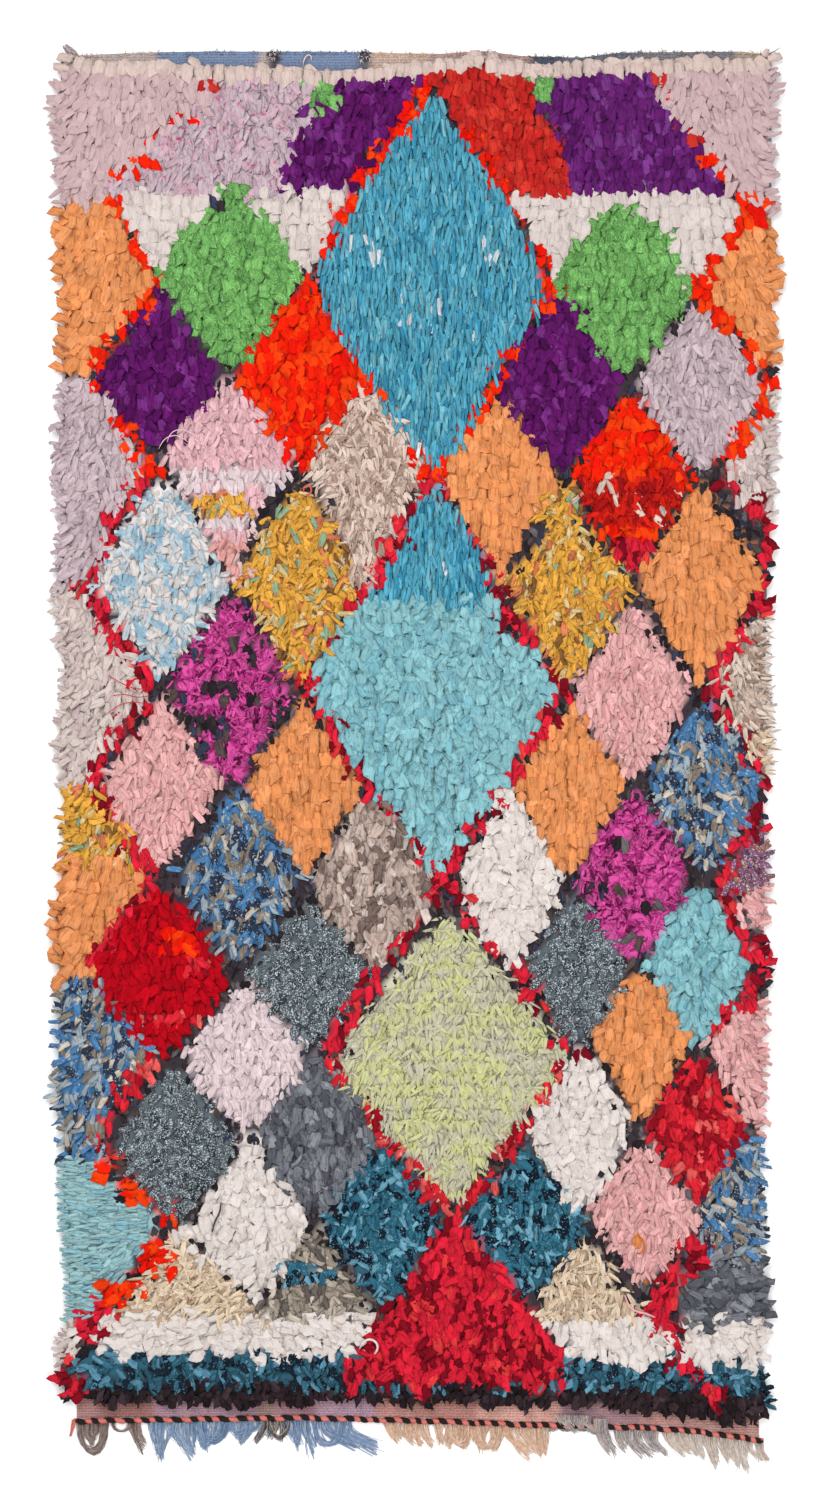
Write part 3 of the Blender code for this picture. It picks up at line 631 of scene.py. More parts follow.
def outline_tone(x, y):
    """The red of the outlines, which changes down the rug."""
    tone = np.where(y < CRIMSON_FROM, "red_orange", np.where(y < CORAL_FROM, "crimson", "coral_red"))
    tone = np.where(within(RED_ZONE, x, y), "red_orange", tone)
    return np.where(y > FOOT_FROM, "crimson", tone)


def yarns_at(x, y, chance):
    """The yarn of each place in pixels, whether it is in an outline, and whether at a lozenge's edge."""
    yarn = np.full(x.shape, "charcoal", dtype="<U12")
    for field in FIELDS:
        yarn = np.where(inside(field.corners, x, y), field.yarn, yarn)
    outline = yarn == "charcoal"
    edge = np.zeros(x.shape, bool)
    dabs = (1.0 - DABBED) * chance + DABBED * (0.5 + 0.5 * np.sin(DAB_DOWN * y + DAB_ACROSS * x))
    for stroke in STROKES:
        near = distance(stroke.corners, x, y)
        drawn = (near < stroke.reach) & (dabs < stroke.share)
        yarn = np.where(drawn, outline_tone(x, y), yarn)
        outline |= drawn
    for row in LOZENGES:
        above = y < row.y
        power = np.where(above, row.upper, row.lower)
        along = np.abs(y - row.y) / np.where(above, row.up, row.down)
        away = (np.abs(x - row.x) / row.aside) ** power + along**power
        yarn = np.where(away < LOZENGE_EDGE, row.yarn, yarn)
        edge = np.where(away < LOZENGE_EDGE, away > LOZENGE_RIM, edge)
        outline &= away >= LOZENGE_EDGE
    yarn = np.where((yarn == "turquoise") & within(CYAN_ZONE, x, y), "cyan", yarn)
    # Painted shade: dark knots among the magenta ones stand for the dark gaps between its threads
    gaps = (yarn == "magenta") & (chance < np.where(x < MIDDLE, LEFT_GAPS, RIGHT_GAPS))
    yarn = np.where(gaps, "charcoal", yarn)
    for row in PATCHES:
        covered = (np.abs(x - row.x) < row.half_wide) & (np.abs(y - row.y) < row.half_high)
        if row.inside:
            covered &= yarn == row.inside
        yarn = np.where(covered, row.yarn, yarn)
    return yarn, outline, edge


def knots(rng):
    """Places of the knots, and which way their strips lie."""
    u, v = np.meshgrid((np.arange(COLUMNS) + 0.5) / COLUMNS, np.linspace(0.0, 1.0, ROWS))
    x = GRID_LEFT + GRID_WIDE * u
    high = pile_top(x)
    low = end_at(PILE_BOTTOM, x) + BOTTOM_INSET
    y = high + (low - high) * v
    left = side_at(PILE_SIDES, y, "left") + SIDE_INSET
    right = side_at(PILE_SIDES, y, "right") - SIDE_INSET
    x = left + (right - left) * (np.arange(COLUMNS) / (COLUMNS - 1))
    x = x + rng.uniform(-JITTER, JITTER, x.shape)
    y = y + rng.uniform(-JITTER, JITTER, y.shape)
    x, y = x.ravel(), y.ravel()
    return x, y, headings(x, y, rng)


def headings(x, y, rng):
    """Which way strips lie: towards the fringe, aside near the sides, and outwards at the rim."""
    from_left = (x - side_at(PILE_SIDES, y, "left")) / PIXEL
    from_right = (side_at(PILE_SIDES, y, "right") - x) / PIXEL
    to_left = np.clip(1.0 - from_left / LEANING, 0.0, 1.0)
    to_right = np.clip(1.0 - from_right / LEANING, 0.0, 1.0)
    heading = MOST_LEAN * (to_right**2 - to_left**2) - math.pi / 2
    edge = COMBED + rng.uniform(-COMBED_RAGGED, COMBED_RAGGED, x.shape)
    heading = np.where(from_left < edge, math.radians(158), heading)
    heading = np.where(from_right < edge, math.radians(22), heading)
    px, py = to_pixels(x, y)
    level = within(LEVEL_ZONE, px, py) & (from_left < LEANING)
    heading = np.where(level, math.radians(180), heading)
    parted = np.where(px < rng.uniform(*PARTED_AT, x.shape), math.radians(-160), math.radians(-28))
    heading = np.where(within(PARTED_ZONE, px, py), parted, heading)
    heading = np.where(within(BACK_ZONE, px, py), math.radians(-140), heading)
    return np.where(within(RIGHT_ZONE, px, py), math.radians(-8), heading)


def grow(roots, heading, length, wide, style, rng):
    """Corner places of strips of cloth, as an array by strip, ring, corner and axis."""
    count, rings, corners = len(roots), style.rings, style.corners
    stations = np.array(STATIONS[rings])
    middles = (stations[1:] + stations[:-1]) / 2
    bend = smooth(middles / BEND_END)
    lift = LIFT + rng.normal(0.0, LIFT_STRAY, (count, 1))
    fall = FALL + rng.normal(0.0, FALL_STRAY, (count, 1))
    elevation = lift * (1.0 - bend) + fall * bend + rng.normal(0.0, STEP_STRAY, (count, rings - 1))
    turn = heading[:, None] + rng.normal(0.0, style.stray * 0.5, (count, 1)) * middles
    run = length[:, None] * np.diff(stations)
    steps = np.stack(
        (np.cos(elevation) * np.cos(turn), np.cos(elevation) * np.sin(turn), np.sin(elevation)), axis=2
    )
    moves = steps * run[:, :, None]
    centre = roots[:, None, :] + np.concatenate((np.zeros((count, 1, 3)), np.cumsum(moves, axis=1)), axis=1)
    tangent = np.concatenate((steps[:, :1], steps[:, 1:] + steps[:, :-1], steps[:, -1:]), axis=1)
    tangent /= np.linalg.norm(tangent, axis=2, keepdims=True)
    ring_turn = np.concatenate((turn, turn[:, -1:]), axis=1)
    side = np.stack((-np.sin(ring_turn), np.cos(ring_turn), np.zeros_like(ring_turn)), axis=2)
    normal = np.cross(tangent, side)
    normal /= np.linalg.norm(normal, axis=2, keepdims=True)
    roll = rng.normal(0.0, style.roll, (count, 1)) * (0.35 + 0.65 * stations)
    cos_roll, sin_roll = np.cos(roll)[:, :, None], np.sin(roll)[:, :, None]
    side, normal = side * cos_roll + normal * sin_roll, normal * cos_roll - side * sin_roll
    profile = np.interp(stations, (0.0, 0.3, 0.7, 1.0), (0.5, 0.9, 1.0, style.tip))
    half = style.wide / 2 * profile * rng.uniform(*RING_WIDTHS, (count, rings))
    half = half * rng.uniform(*STRIP_WIDTHS, (count, 1)) * wide[:, None]
    section = np.array(SECTIONS[corners])
    across, face = section[:, 0], section[:, 1]
    thin = np.interp(stations, (0.0, 0.9, 1.0), (1.0, 1.0, TIP_THICK))
    arch = style.curl * rng.uniform(*CURL_SHARES, (count, 1, 1)) * (1.0 - across**2)
    rise = arch * half[:, :, None] + face * style.thick / 2 * thin[:, None]
    rise = rise + rng.normal(0.0, style.crumple, (count, rings, corners))
    slant = rng.uniform(-TIP_SLANT, TIP_SLANT, (count, 1)) * (stations == 1.0)
    ahead = slant[:, :, None] * across * half[:, :, None]
    places = (
        centre[:, :, None, :]
        + side[:, :, None, :] * (across * half[:, :, None])[:, :, :, None]
        + normal[:, :, None, :] * rise[:, :, :, None]
        + tangent[:, :, None, :] * ahead[:, :, :, None]
    )
    folds = np.zeros_like(places)
    folds[..., 0] = across * style.wide / 2 / style.fold
    folds[..., 1] = (stations * style.long / FOLD_ALONG)[:, None]
    folds[..., 2] = rng.uniform(0.0, CREASE_SPREAD, (count, 1, 1))
    return Batch(places, rng.random(count), folds)


def strip_faces(count, rings, corners):
    """Corner numbers of the faces of such strips: sides first, then both ends."""
    ring, corner = np.meshgrid(np.arange(rings - 1), np.arange(corners), indexing="ij")
    after = (corner + 1) % corners
    quads = np.stack(
        (ring * corners + corner, (ring + 1) * corners + corner, (ring + 1) * corners + after,
         ring * corners + after), axis=2
    ).reshape(-1, 4)
    caps = np.stack((np.arange(corners), (rings - 1) * corners + np.arange(corners)[::-1]))
    base = np.arange(count)[:, None, None] * rings * corners
    return (quads[None] + base).reshape(-1, 4), (caps[None] + base).reshape(-1, corners)


def bake_places(count, rings, corners, cell_from, cells):
    """Places on the texture for each face corner of such strips, a cell for each strip."""
    ring, corner = np.meshgrid(np.arange(rings - 1), np.arange(corners), indexing="ij")
    u = np.stack((corner, corner, corner + 1, corner + 1), axis=2).reshape(-1, 4) / corners
    v = np.stack((ring, ring + 1, ring + 1, ring), axis=2).reshape(-1, 4) / (rings - 1)
    cap_u = np.stack((np.arange(corners), np.arange(corners)[::-1])) / corners
    cap_v = np.stack((np.zeros(corners), np.ones(corners)))
    number = cell_from + np.arange(count)
    column, row = (number % cells)[:, None, None], (number // cells)[:, None, None]
    sides = np.stack(((column + 0.04 + 0.92 * u) / cells, (row + 0.04 + 0.92 * v) / cells), axis=3)
    ends = np.stack(((column + 0.04 + 0.92 * cap_u) / cells, (row + 0.04 + 0.92 * cap_v) / cells), axis=3)
    return sides.reshape(-1, 2), ends.reshape(-1, 2)


# Strips of one build, a number for each one's colour, and where their creases run
Batch = namedtuple("Batch", "places tints folds", defaults=(None,))


def mesh_of(name, batches, sharp=26.0):
    """One mesh of batches of strips, with their tints and places on a texture."""
    cells = int(math.ceil(math.sqrt(sum(len(batch.places) for batch in batches))))
    points, tints, loops, starts, texture = [], [], [], [], []
    base, loop_base, cell = 0, 0, 0
    for batch in batches:
        count, rings, corners, _ = batch.places.shape
        points.append(batch.places.reshape(-1, 3))
        tints.append(np.repeat(batch.tints, rings * corners))
        sides, ends = strip_faces(count, rings, corners)
        side_places, end_places = bake_places(count, rings, corners, cell, cells)
        for faces, spots in ((sides, side_places), (ends, end_places)):
            loops.append((faces + base).ravel())
            starts.append(loop_base + np.arange(len(faces)) * faces.shape[1])
            loop_base += faces.size
            texture.append(spots)
        base += count * rings * corners
        cell += count
    points, loops, starts = np.concatenate(points), np.concatenate(loops), np.concatenate(starts)
    points[:, 2] = np.maximum(points[:, 2], ABOVE_FLOOR)
    mesh = bpy.data.meshes.new(name)
    mesh.vertices.add(len(points))
    mesh.vertices.foreach_set("co", points.astype(np.float32).ravel())
    mesh.loops.add(len(loops))
    mesh.loops.foreach_set("vertex_index", loops.astype(np.int32))
    mesh.polygons.add(len(starts))
    mesh.polygons.foreach_set("loop_start", starts.astype(np.int32))
    mesh.update(calc_edges=True)
    mesh.polygons.foreach_set("use_smooth", np.ones(len(starts), bool))
    mesh.attributes.new("tint", "FLOAT", "POINT").data.foreach_set(
        "value", np.concatenate(tints).astype(np.float32)
    )
    if batches[0].folds is not None:
        folds = np.concatenate([batch.folds.reshape(-1, 3) for batch in batches])
        mesh.attributes.new("fold", "FLOAT_VECTOR", "POINT").data.foreach_set(
            "vector", folds.astype(np.float32).ravel()
        )
    layer = mesh.uv_layers.new(name="OFBake")
    layer.data.foreach_set("uv", np.concatenate(texture).astype(np.float32).ravel())
    mesh.validate()
    mesh.set_sharp_from_angle(angle=math.radians(sharp))
    return mesh


def add_piece(name, mesh, material):
    """A piece of the rug, of this mesh and material."""
    piece = bpy.data.objects.new(name, mesh)
    bpy.context.scene.collection.objects.link(piece)
    mesh.materials.append(material)
    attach(piece, "root")
    return piece


def node(tree, kind, **settings):
    made = tree.nodes.new(kind)
    for key, value in settings.items():
        setattr(made, key, value)
    return made


def mixed(tree, factor, first, second, blend="MIX"):
    """A colour mixed from two, each a socket or a fixed colour."""
    mix = node(tree, "ShaderNodeMix", data_type="RGBA", blend_type=blend, clamp_result=True)
    for socket, value in ((mix.inputs[0], factor), (mix.inputs[6], first), (mix.inputs[7], second)):
        if isinstance(value, bpy.types.NodeSocket):
            tree.links.new(value, socket)
        elif isinstance(value, float):
            socket.default_value = value
        else:
            socket.default_value = (*value, 1.0)
    return mix.outputs[2]


def ramp(tree, source, stops, interpolation="LINEAR"):
    """A ramp of colours over a number. stops are places and linear colours."""
    made = node(tree, "ShaderNodeValToRGB")
    tree.links.new(source, made.inputs[0])
    elements = made.color_ramp.elements
    made.color_ramp.interpolation = interpolation
    while len(elements) < len(stops):
        elements.new(1.0)
    while len(elements) > len(stops):
        elements.remove(elements[-1])
    for element, (place, colour) in zip(elements, stops):
        element.position = place
        element.color = (*colour, 1.0)
    return made.outputs[0]


def noise(tree, scale, detail=2.0, roughness=0.5):
    """Noise over the piece's own places."""
    coordinates = node(tree, "ShaderNodeTexCoord")
    made = node(tree, "ShaderNodeTexNoise")
    made.inputs["Scale"].default_value = scale
    made.inputs["Detail"].default_value = detail
    made.inputs["Roughness"].default_value = roughness
    tree.links.new(coordinates.outputs["Object"], made.inputs["Vector"])
    return made.outputs[0]


def math_node(tree, operation, source, value=0.0):
    """A sum on a number, with a fixed second one."""
    made = node(tree, "ShaderNodeMath", operation=operation)
    tree.links.new(source, made.inputs[0])
    made.inputs[1].default_value = value
    return made.outputs[0]


def to_edge(tree, style):
    """How far across its strip a place is: 0 in the middle and 1 at either edge."""
    places = node(tree, "ShaderNodeAttribute", attribute_name="fold").outputs["Vector"]
    parts = node(tree, "ShaderNodeSeparateXYZ")
    tree.links.new(places, parts.inputs[0])
    size = math_node(tree, "ABSOLUTE", parts.outputs[0])
    return math_node(tree, "MULTIPLY", size, 2.0 * style.fold / style.wide)


def folds_noise(tree):
    """Creases that run along each strip of cloth, in its own places: they bump it and darken it with painted shade."""
    places = node(tree, "ShaderNodeAttribute", attribute_name="fold").outputs["Vector"]
    made = node(tree, "ShaderNodeTexNoise")
    made.inputs["Scale"].default_value = 1.0
    made.inputs["Detail"].default_value = 2.5
    made.inputs["Roughness"].default_value = 0.55
    tree.links.new(places, made.inputs["Vector"])
    return made.outputs[0]


def bump(tree, height, strength, distance_m, shader):
    made = node(tree, "ShaderNodeBump")
    made.inputs["Strength"].default_value = strength
    made.inputs["Distance"].default_value = distance_m
    tree.links.new(height, made.inputs["Height"])
    tree.links.new(made.outputs[0], shader.inputs["Normal"])


def cloth_shader(name, rough=0.92, sheen=0.015):
    material = bpy.data.materials.new(name)
    material.use_nodes = True
    shader = material.node_tree.nodes["Principled BSDF"]
    shader.inputs["Roughness"].default_value = rough
    shader.inputs["Specular IOR Level"].default_value = 0.05
    shader.inputs["Sheen Weight"].default_value = sheen
    shader.inputs["Sheen Roughness"].default_value = 0.6
    return material, material.node_tree, shader


def tones_of(colours):
    """Stops of a stepped ramp: each colour takes its share."""
    total = sum(tone.share for tone in colours)
    place, stops = 0.0, []
    for tone in colours:
        stops.append((place, linear(tone.red, tone.green, tone.blue)))
        place += tone.share / total
    return stops


def rag_material(name, yarn):
    """Worn rag cloth: each strip of its own tone, mottled, with flecks where the cloth is printed, and painted shade in
    its creases and along its edges.
    """
    material, tree, shader = cloth_shader("rag_" + name)
    tint = node(tree, "ShaderNodeAttribute", attribute_name="tint").outputs["Fac"]
    if yarn.patchy:
        stops = [(PATCHES_FROM + PATCHES_OVER * place, tone) for place, tone in tones_of(yarn.colours)]
        colour = ramp(tree, noise(tree, 17.0, detail=4.0, roughness=0.62), stops)
    else:
        colour = ramp(tree, tint, tones_of(yarn.colours), "CONSTANT")
    if yarn.flecks:
        fleck = yarn.flecks
        spots = noise(tree, fleck.scale, detail=1.0)
        edge = 0.70 - 0.35 * fleck.cover
        mask = ramp(tree, spots, ((edge, (0.0, 0.0, 0.0)), (edge + 0.03, (1.0, 1.0, 1.0))))
        colour = mixed(tree, mask, colour, linear(fleck.red, fleck.green, fleck.blue))
    patches = noise(tree, 55.0, detail=2.0)
    creases = folds_noise(tree)
    own = math_node(tree, "SINE", math_node(tree, "MULTIPLY", tint, 61.0))
    style = STYLES[yarn.style]
    # Multiplied into the colour: a mottle by place, painted shade in the creases, each strip's own tone, and painted
    # shade along each strip's edges
    shades = (
        (patches, (0.30, 0.84), (0.62, 1.0)),
        (creases, (0.36, 0.60), (0.50, 1.0)),
        (own, (0.0, 0.80), (0.9, 1.0)),
        (to_edge(tree, style), (0.72, 1.0), (1.0, style.edge)),
    )
    for source, (low, low_shade), (high, high_shade) in shades:
        shade = ramp(tree, source, ((low, (low_shade,) * 3), (high, (high_shade,) * 3)))
        colour = mixed(tree, yarn.depth, colour, shade, "MULTIPLY")
    tree.links.new(colour, shader.inputs["Base Color"])
    bump(tree, creases, 0.8, 0.0030, shader)
    return material


def strips_for(style, roots, heading, wide, long, rng):
    """Batches of strips for these knots. wide and long are each knot's own, to the usual ones."""
    count = len(roots)
    batches = []
    for k in range(style.strips):
        step = k - (style.strips - 1) / 2
        spread = step * style.wide * SPACING
        place = roots.copy()
        place[:, 0] += -np.sin(heading) * spread * wide + rng.normal(0.0, 0.0012, count)
        place[:, 1] += np.cos(heading) * spread * wide + rng.normal(0.0, 0.0020, count)
        turned = heading + rng.normal(0.0, style.stray, count) + step * style.stray * 0.5
        length = style.long * long * rng.uniform(*LENGTHS, count)
        batches.append(grow(place, turned, length, wide, style, rng))
    if style.strips == 1:
        place = roots.copy()
        place[:, :2] += rng.normal(0.0, LOW_STRAY, (count, 2))
        turned = heading + np.clip(rng.normal(0.0, LOW_TURN, count), -LOW_MOST, LOW_MOST)
        low = style._replace(rings=4, corners=3, wide=LOW_WIDE, crumple=LOW_CRUMPLE, roll=LOW_ROLL)
        length = style.long * long * rng.uniform(*LOW_LENGTHS, count)
        batches.append(grow(place, turned, length, wide, low, rng))
    return batches


def pile_pieces():
    """The rag pile, a piece for each yarn."""
    rng = np.random.default_rng(SEED)
    x, y, heading = knots(rng)
    seen_x = x + np.cos(heading) * VISIBLE
    seen_y = y + np.sin(heading) * VISIBLE
    px, py = to_pixels(seen_x, seen_y)
    px = px + rng.uniform(-CHART_JITTER, CHART_JITTER, px.shape)
    py = py + rng.uniform(-CHART_JITTER, CHART_JITTER, py.shape)
    names, outline, edge = yarns_at(px, py, rng.random(px.shape))
    from_side = np.minimum(x - side_at(PILE_SIDES, y, "left"), side_at(PILE_SIDES, y, "right") - x)
    at_rim = from_side < COMBED * PIXEL
    dark = outline & (names == "charcoal")
    wide = np.select((dark, outline, at_rim, edge), (DARK_WIDE, RED_WIDE, RIM_WIDE, EDGE_WIDE), 1.0)
    long = np.select((dark, outline, at_rim, edge), (DARK_LONG, RED_LONG, RIM_LONG, EDGE_LONG), 1.0)
    long = np.where(names == "aubergine", rng.uniform(*ROW_LENGTHS, x.shape), long)
    long = np.where(names == "sea", SEA_LONG * long, long)
    low = ROOT_HIGH - DARK_SUNK * dark
    lumps = np.sin(x * 23.0 + 1.0) * np.sin(y * 19.0) + np.sin(x * 47.0 + y * 31.0)
    pieces = []
    for name, yarn in YARNS.items():
        mine = names == name
        if not mine.any():
            continue
        roots = np.stack((x[mine], y[mine], low[mine] + LUMPY * lumps[mine]), axis=1)
        batches = strips_for(STYLES[yarn.style], roots, heading[mine], wide[mine], long[mine], rng)
        mesh = mesh_of("pile_" + name, batches)
        piece = add_piece("pile_" + name, mesh, rag_material(name, yarn))
        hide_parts("pile")
        pieces.append(piece)
    return pieces


def sheet_mesh(name, across, along, low, high, colours):
    """A closed thin form over a grid of places, with a colour at each. The grids run row by row."""
    rows, columns = across.shape
    tops = np.stack((across, along, high), axis=2).reshape(-1, 3)
    unders = np.stack((across, along, low), axis=2).reshape(-1, 3)
    number = np.arange(rows * columns).reshape(rows, columns)
    quads = np.stack((number[:-1, :-1], number[:-1, 1:], number[1:, 1:], number[1:, :-1]), axis=2).reshape(-1, 4)
    rim = np.concatenate((number[0, :-1], number[:-1, -1], number[-1, :0:-1], number[:0:-1, 0]))
    after = np.roll(rim, -1)
    size = rows * columns
    walls = np.stack((rim, rim + size, after + size, after), axis=1)
    faces = np.concatenate((quads, quads[:, ::-1] + size, walls))
    mesh = bpy.data.meshes.new(name)
    mesh.from_pydata(np.concatenate((tops, unders)).tolist(), [], faces.tolist())
    both = np.concatenate((colours.reshape(-1, 3), colours.reshape(-1, 3)))
    shown = np.concatenate((both, np.ones((len(both), 1))), axis=1)
    mesh.attributes.new("cloth", "FLOAT_COLOR", "POINT").data.foreach_set(
        "color", shown.astype(np.float32).ravel()
    )
    mesh.polygons.foreach_set("use_smooth", np.ones(len(faces), bool))
    mesh.update()
    mesh.set_sharp_from_angle(angle=math.radians(60))
    return mesh


def pile_bed():
    """The dense roots of the pile, a lumpy low slab which fills between strips, in the yarns' own colours darkened by
    painted shade.
    """
    rng = np.random.default_rng(SEED + 1)
    u, v = np.meshgrid(np.linspace(0.0, 1.0, COLUMNS + 1), np.linspace(0.0, 1.0, ROWS + 1))
    x = GRID_LEFT + GRID_WIDE * u
    low = end_at(PILE_BOTTOM, x) + BOTTOM_INSET - 0.010
    high = pile_top(x)
    y = low + (high - low) * v
    left = side_at(PILE_SIDES, y, "left") + SIDE_INSET - 0.010
    right = side_at(PILE_SIDES, y, "right") - SIDE_INSET + 0.010
    x = left + (right - left) * u
    z = rng.uniform(BED_LOW, BED_HIGH, x.shape)
    z[[0, -1], :] = CLOTH_THICK + 0.006
    z[:, [0, -1]] = CLOTH_THICK + 0.006
    px, py = to_pixels(x, y - VISIBLE)
    names, _, _ = yarns_at(px, py, rng.random(x.shape))
    colours = np.zeros((*x.shape, 3))
    for name, yarn in YARNS.items():
        first = yarn.colours[0]
        # Painted shade: under yarns of strong shade the roots are coloured darker, as shade falls between the strips
        shade = BED_SHADE if yarn.depth > 0.5 else 1.0
        colours[names == name] = shade * np.array(linear(first.red, first.green, first.blue))
    mesh = sheet_mesh("pile_bed", x, y, np.full_like(x, CLOTH_THICK + 0.0003), z, colours)
    material, tree, shader = cloth_shader("rag_roots")
    shade = node(tree, "ShaderNodeAttribute", attribute_name="cloth").outputs["Color"]
    tree.links.new(shade, shader.inputs["Base Color"])
    bump(tree, noise(tree, 260.0, detail=3.0), 0.5, 0.002, shader)
    piece = add_piece("pile_bed", mesh, material)
    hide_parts("pile")
    return piece


CLOTH_BLEND = 5.0  # pixels to either side over which the ground's colours change
# Colours along the header and along the plain band, from the left: where each ends, as seen
Cloth = namedtuple("Cloth", "to red green blue")
HEADER_CLOTH = (
    Cloth(80, 178, 162, 160),
    Cloth(157, 204, 182, 170),
    Cloth(259, 136, 148, 170),
    Cloth(268, 206, 184, 168),
    Cloth(279, 100, 88, 90),
    Cloth(358, 134, 147, 170),
    Cloth(371, 118, 114, 118),
    Cloth(430, 224, 190, 166),
    Cloth(530, 204, 170, 156),
    Cloth(562, 96, 100, 112),
    Cloth(640, 132, 130, 138),
    Cloth(735, 150, 142, 142),
    Cloth(765, 204, 182, 158),
    Cloth(840, 160, 176, 190),
)
BAND_CLOTH = (
    Cloth(100, 200, 145, 135),
    Cloth(155, 184, 127, 117),
    Cloth(258, 206, 160, 166),
    Cloth(275, 180, 144, 128),
    Cloth(318, 198, 146, 148),
    Cloth(375, 205, 162, 171),
    Cloth(415, 224, 158, 142),
    Cloth(478, 207, 144, 127),
    Cloth(560, 250, 184, 162),
    Cloth(590, 190, 146, 148),
    Cloth(640, 198, 150, 149),
    Cloth(762, 220, 162, 146),
    Cloth(840, 216, 164, 152),
)


def cloth_colours(table, px):
    """Linear colours of the cloth at these pixels across, which blend where one ends."""
    ends = np.array([row.to for row in table], float)
    tones = np.array([linear(row.red, row.green, row.blue) for row in table])
    places = np.stack((ends[:-1] - CLOTH_BLEND, ends[:-1] + CLOTH_BLEND), axis=1).ravel()
    shades = np.stack((tones[:-1], tones[1:]), axis=1).reshape(-1, 3)
    return np.stack([np.interp(px, places, shades[:, k]) for k in range(3)], axis=-1)


def ground_cloth():
    """The woven ground, in one piece from header to band, lying flat on the floor."""
    u = np.linspace(0.0, 1.0, 361)
    steps = np.concatenate((np.linspace(0.0, 0.016, 5), np.linspace(0.10, 0.90, 9), np.linspace(0.985, 1.0, 4)))
    u, v = np.meshgrid(u, steps)
    x = -0.615 + 1.24 * u
    low = end_at(TWINED_LINE, x) + 0.0048
    high = end_at(HEADER_EDGE, x)
    y = low + (high - low) * v
    left, right = side_at(SELVEDGES, y, "left"), side_at(SELVEDGES, y, "right")
    left = np.where(v < 0.02, np.maximum(left, -0.6015), left)
    x = left + (right - left) * u
    y = end_at(TWINED_LINE, x) + 0.0048 + (end_at(HEADER_EDGE, x) - end_at(TWINED_LINE, x) - 0.0048) * v
    px, py = to_pixels(x, y)
    colours = np.where((py > 700)[:, :, None], cloth_colours(BAND_CLOTH, px), cloth_colours(HEADER_CLOTH, px))
    ripple = 0.0005 * np.sin(x * 160.0) * np.sin(y * 90.0)
    mesh = sheet_mesh("ground_cloth", x, y, np.zeros_like(x), CLOTH_THICK - 0.0005 + ripple, colours)
    material, tree, shader = cloth_shader("woven_ground", rough=0.95)
    colour = node(tree, "ShaderNodeAttribute", attribute_name="cloth").outputs["Color"]
    coordinates = node(tree, "ShaderNodeTexCoord").outputs["Object"]
    weft = node(tree, "ShaderNodeTexWave", bands_direction="Y")
    weft.inputs["Scale"].default_value = 66.0
    weft.inputs["Distortion"].default_value = 1.2
    tree.links.new(coordinates, weft.inputs["Vector"])
    warp = node(tree, "ShaderNodeTexWave", bands_direction="X")
    warp.inputs["Scale"].default_value = 120.0
    warp.inputs["Distortion"].default_value = 1.0
    tree.links.new(coordinates, warp.inputs["Vector"])
    stripes = ramp(tree, weft.outputs[1], ((0.30, (0.56, 0.74, 0.98)), (0.70, (1.0, 0.98, 0.95))))
    threads = ramp(tree, warp.outputs[1], ((0.2, (0.74, 0.74, 0.76)), (0.7, (1.0, 1.0, 1.0))))
    specks = ramp(tree, noise(tree, 380.0, detail=1.0), ((0.38, (0.50, 0.48, 0.52)), (0.54, (1.0, 1.0, 1.0))))
    colour = mixed(tree, 0.85, colour, stripes, "MULTIPLY")
    colour = mixed(tree, 0.7, colour, threads, "MULTIPLY")
    colour = mixed(tree, 0.7, colour, specks, "MULTIPLY")
    tree.links.new(colour, shader.inputs["Base Color"])
    height = mixed(tree, 0.5, weft.outputs[0], warp.outputs[0])
    bump(tree, height, 0.8, 0.0008, shader)
    piece = add_piece("ground_cloth", mesh, material)
    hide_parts("ground_weave")
    return piece


def tubes(paths, radii, corners, tints):
    """Round threads along paths: an array by thread, ring and axis, with a radius at each ring."""
    steps = np.diff(paths, axis=1)
    tangent = np.concatenate((steps[:, :1], steps[:, 1:] + steps[:, :-1], steps[:, -1:]), axis=1)
    tangent /= np.linalg.norm(tangent, axis=2, keepdims=True)
    up = np.zeros_like(tangent)
    up[:, :, 2] = 1.0
    side = np.cross(up, tangent)
    side /= np.linalg.norm(side, axis=2, keepdims=True) + 1e-12
    normal = np.cross(tangent, side)
    angle = -2.0 * math.pi * np.arange(corners) / corners
    places = (
        paths[:, :, None, :]
        + side[:, :, None, :] * (np.cos(angle) * radii[:, :, None])[:, :, :, None]
        + normal[:, :, None, :] * (np.sin(angle) * radii[:, :, None])[:, :, :, None]
    )
    return Batch(places, tints)


def plain_material(name, colours, rough=0.92, mottle=0.25):
    """Yarn of a few tones, by strand, a little mottled."""
    material, tree, shader = cloth_shader(name, rough=rough)
    tint = node(tree, "ShaderNodeAttribute", attribute_name="tint").outputs["Fac"]
    colour = ramp(tree, tint, tones_of(colours), "CONSTANT")
    shade = ramp(tree, noise(tree, 160.0), ((0.3, (1.0 - mottle,) * 3), (0.65, (1.0, 1.0, 1.0))))
    colour = mixed(tree, 1.0, colour, shade, "MULTIPLY")
    tree.links.new(colour, shader.inputs["Base Color"])
    bump(tree, noise(tree, 900.0, detail=1.0), 0.4, 0.0004, shader)
    return material


CORD_WAVE = 0.0011  # how far each cord swings to either side
CORD_SWELL = 0.0010  # how much thicker each is where it is on top


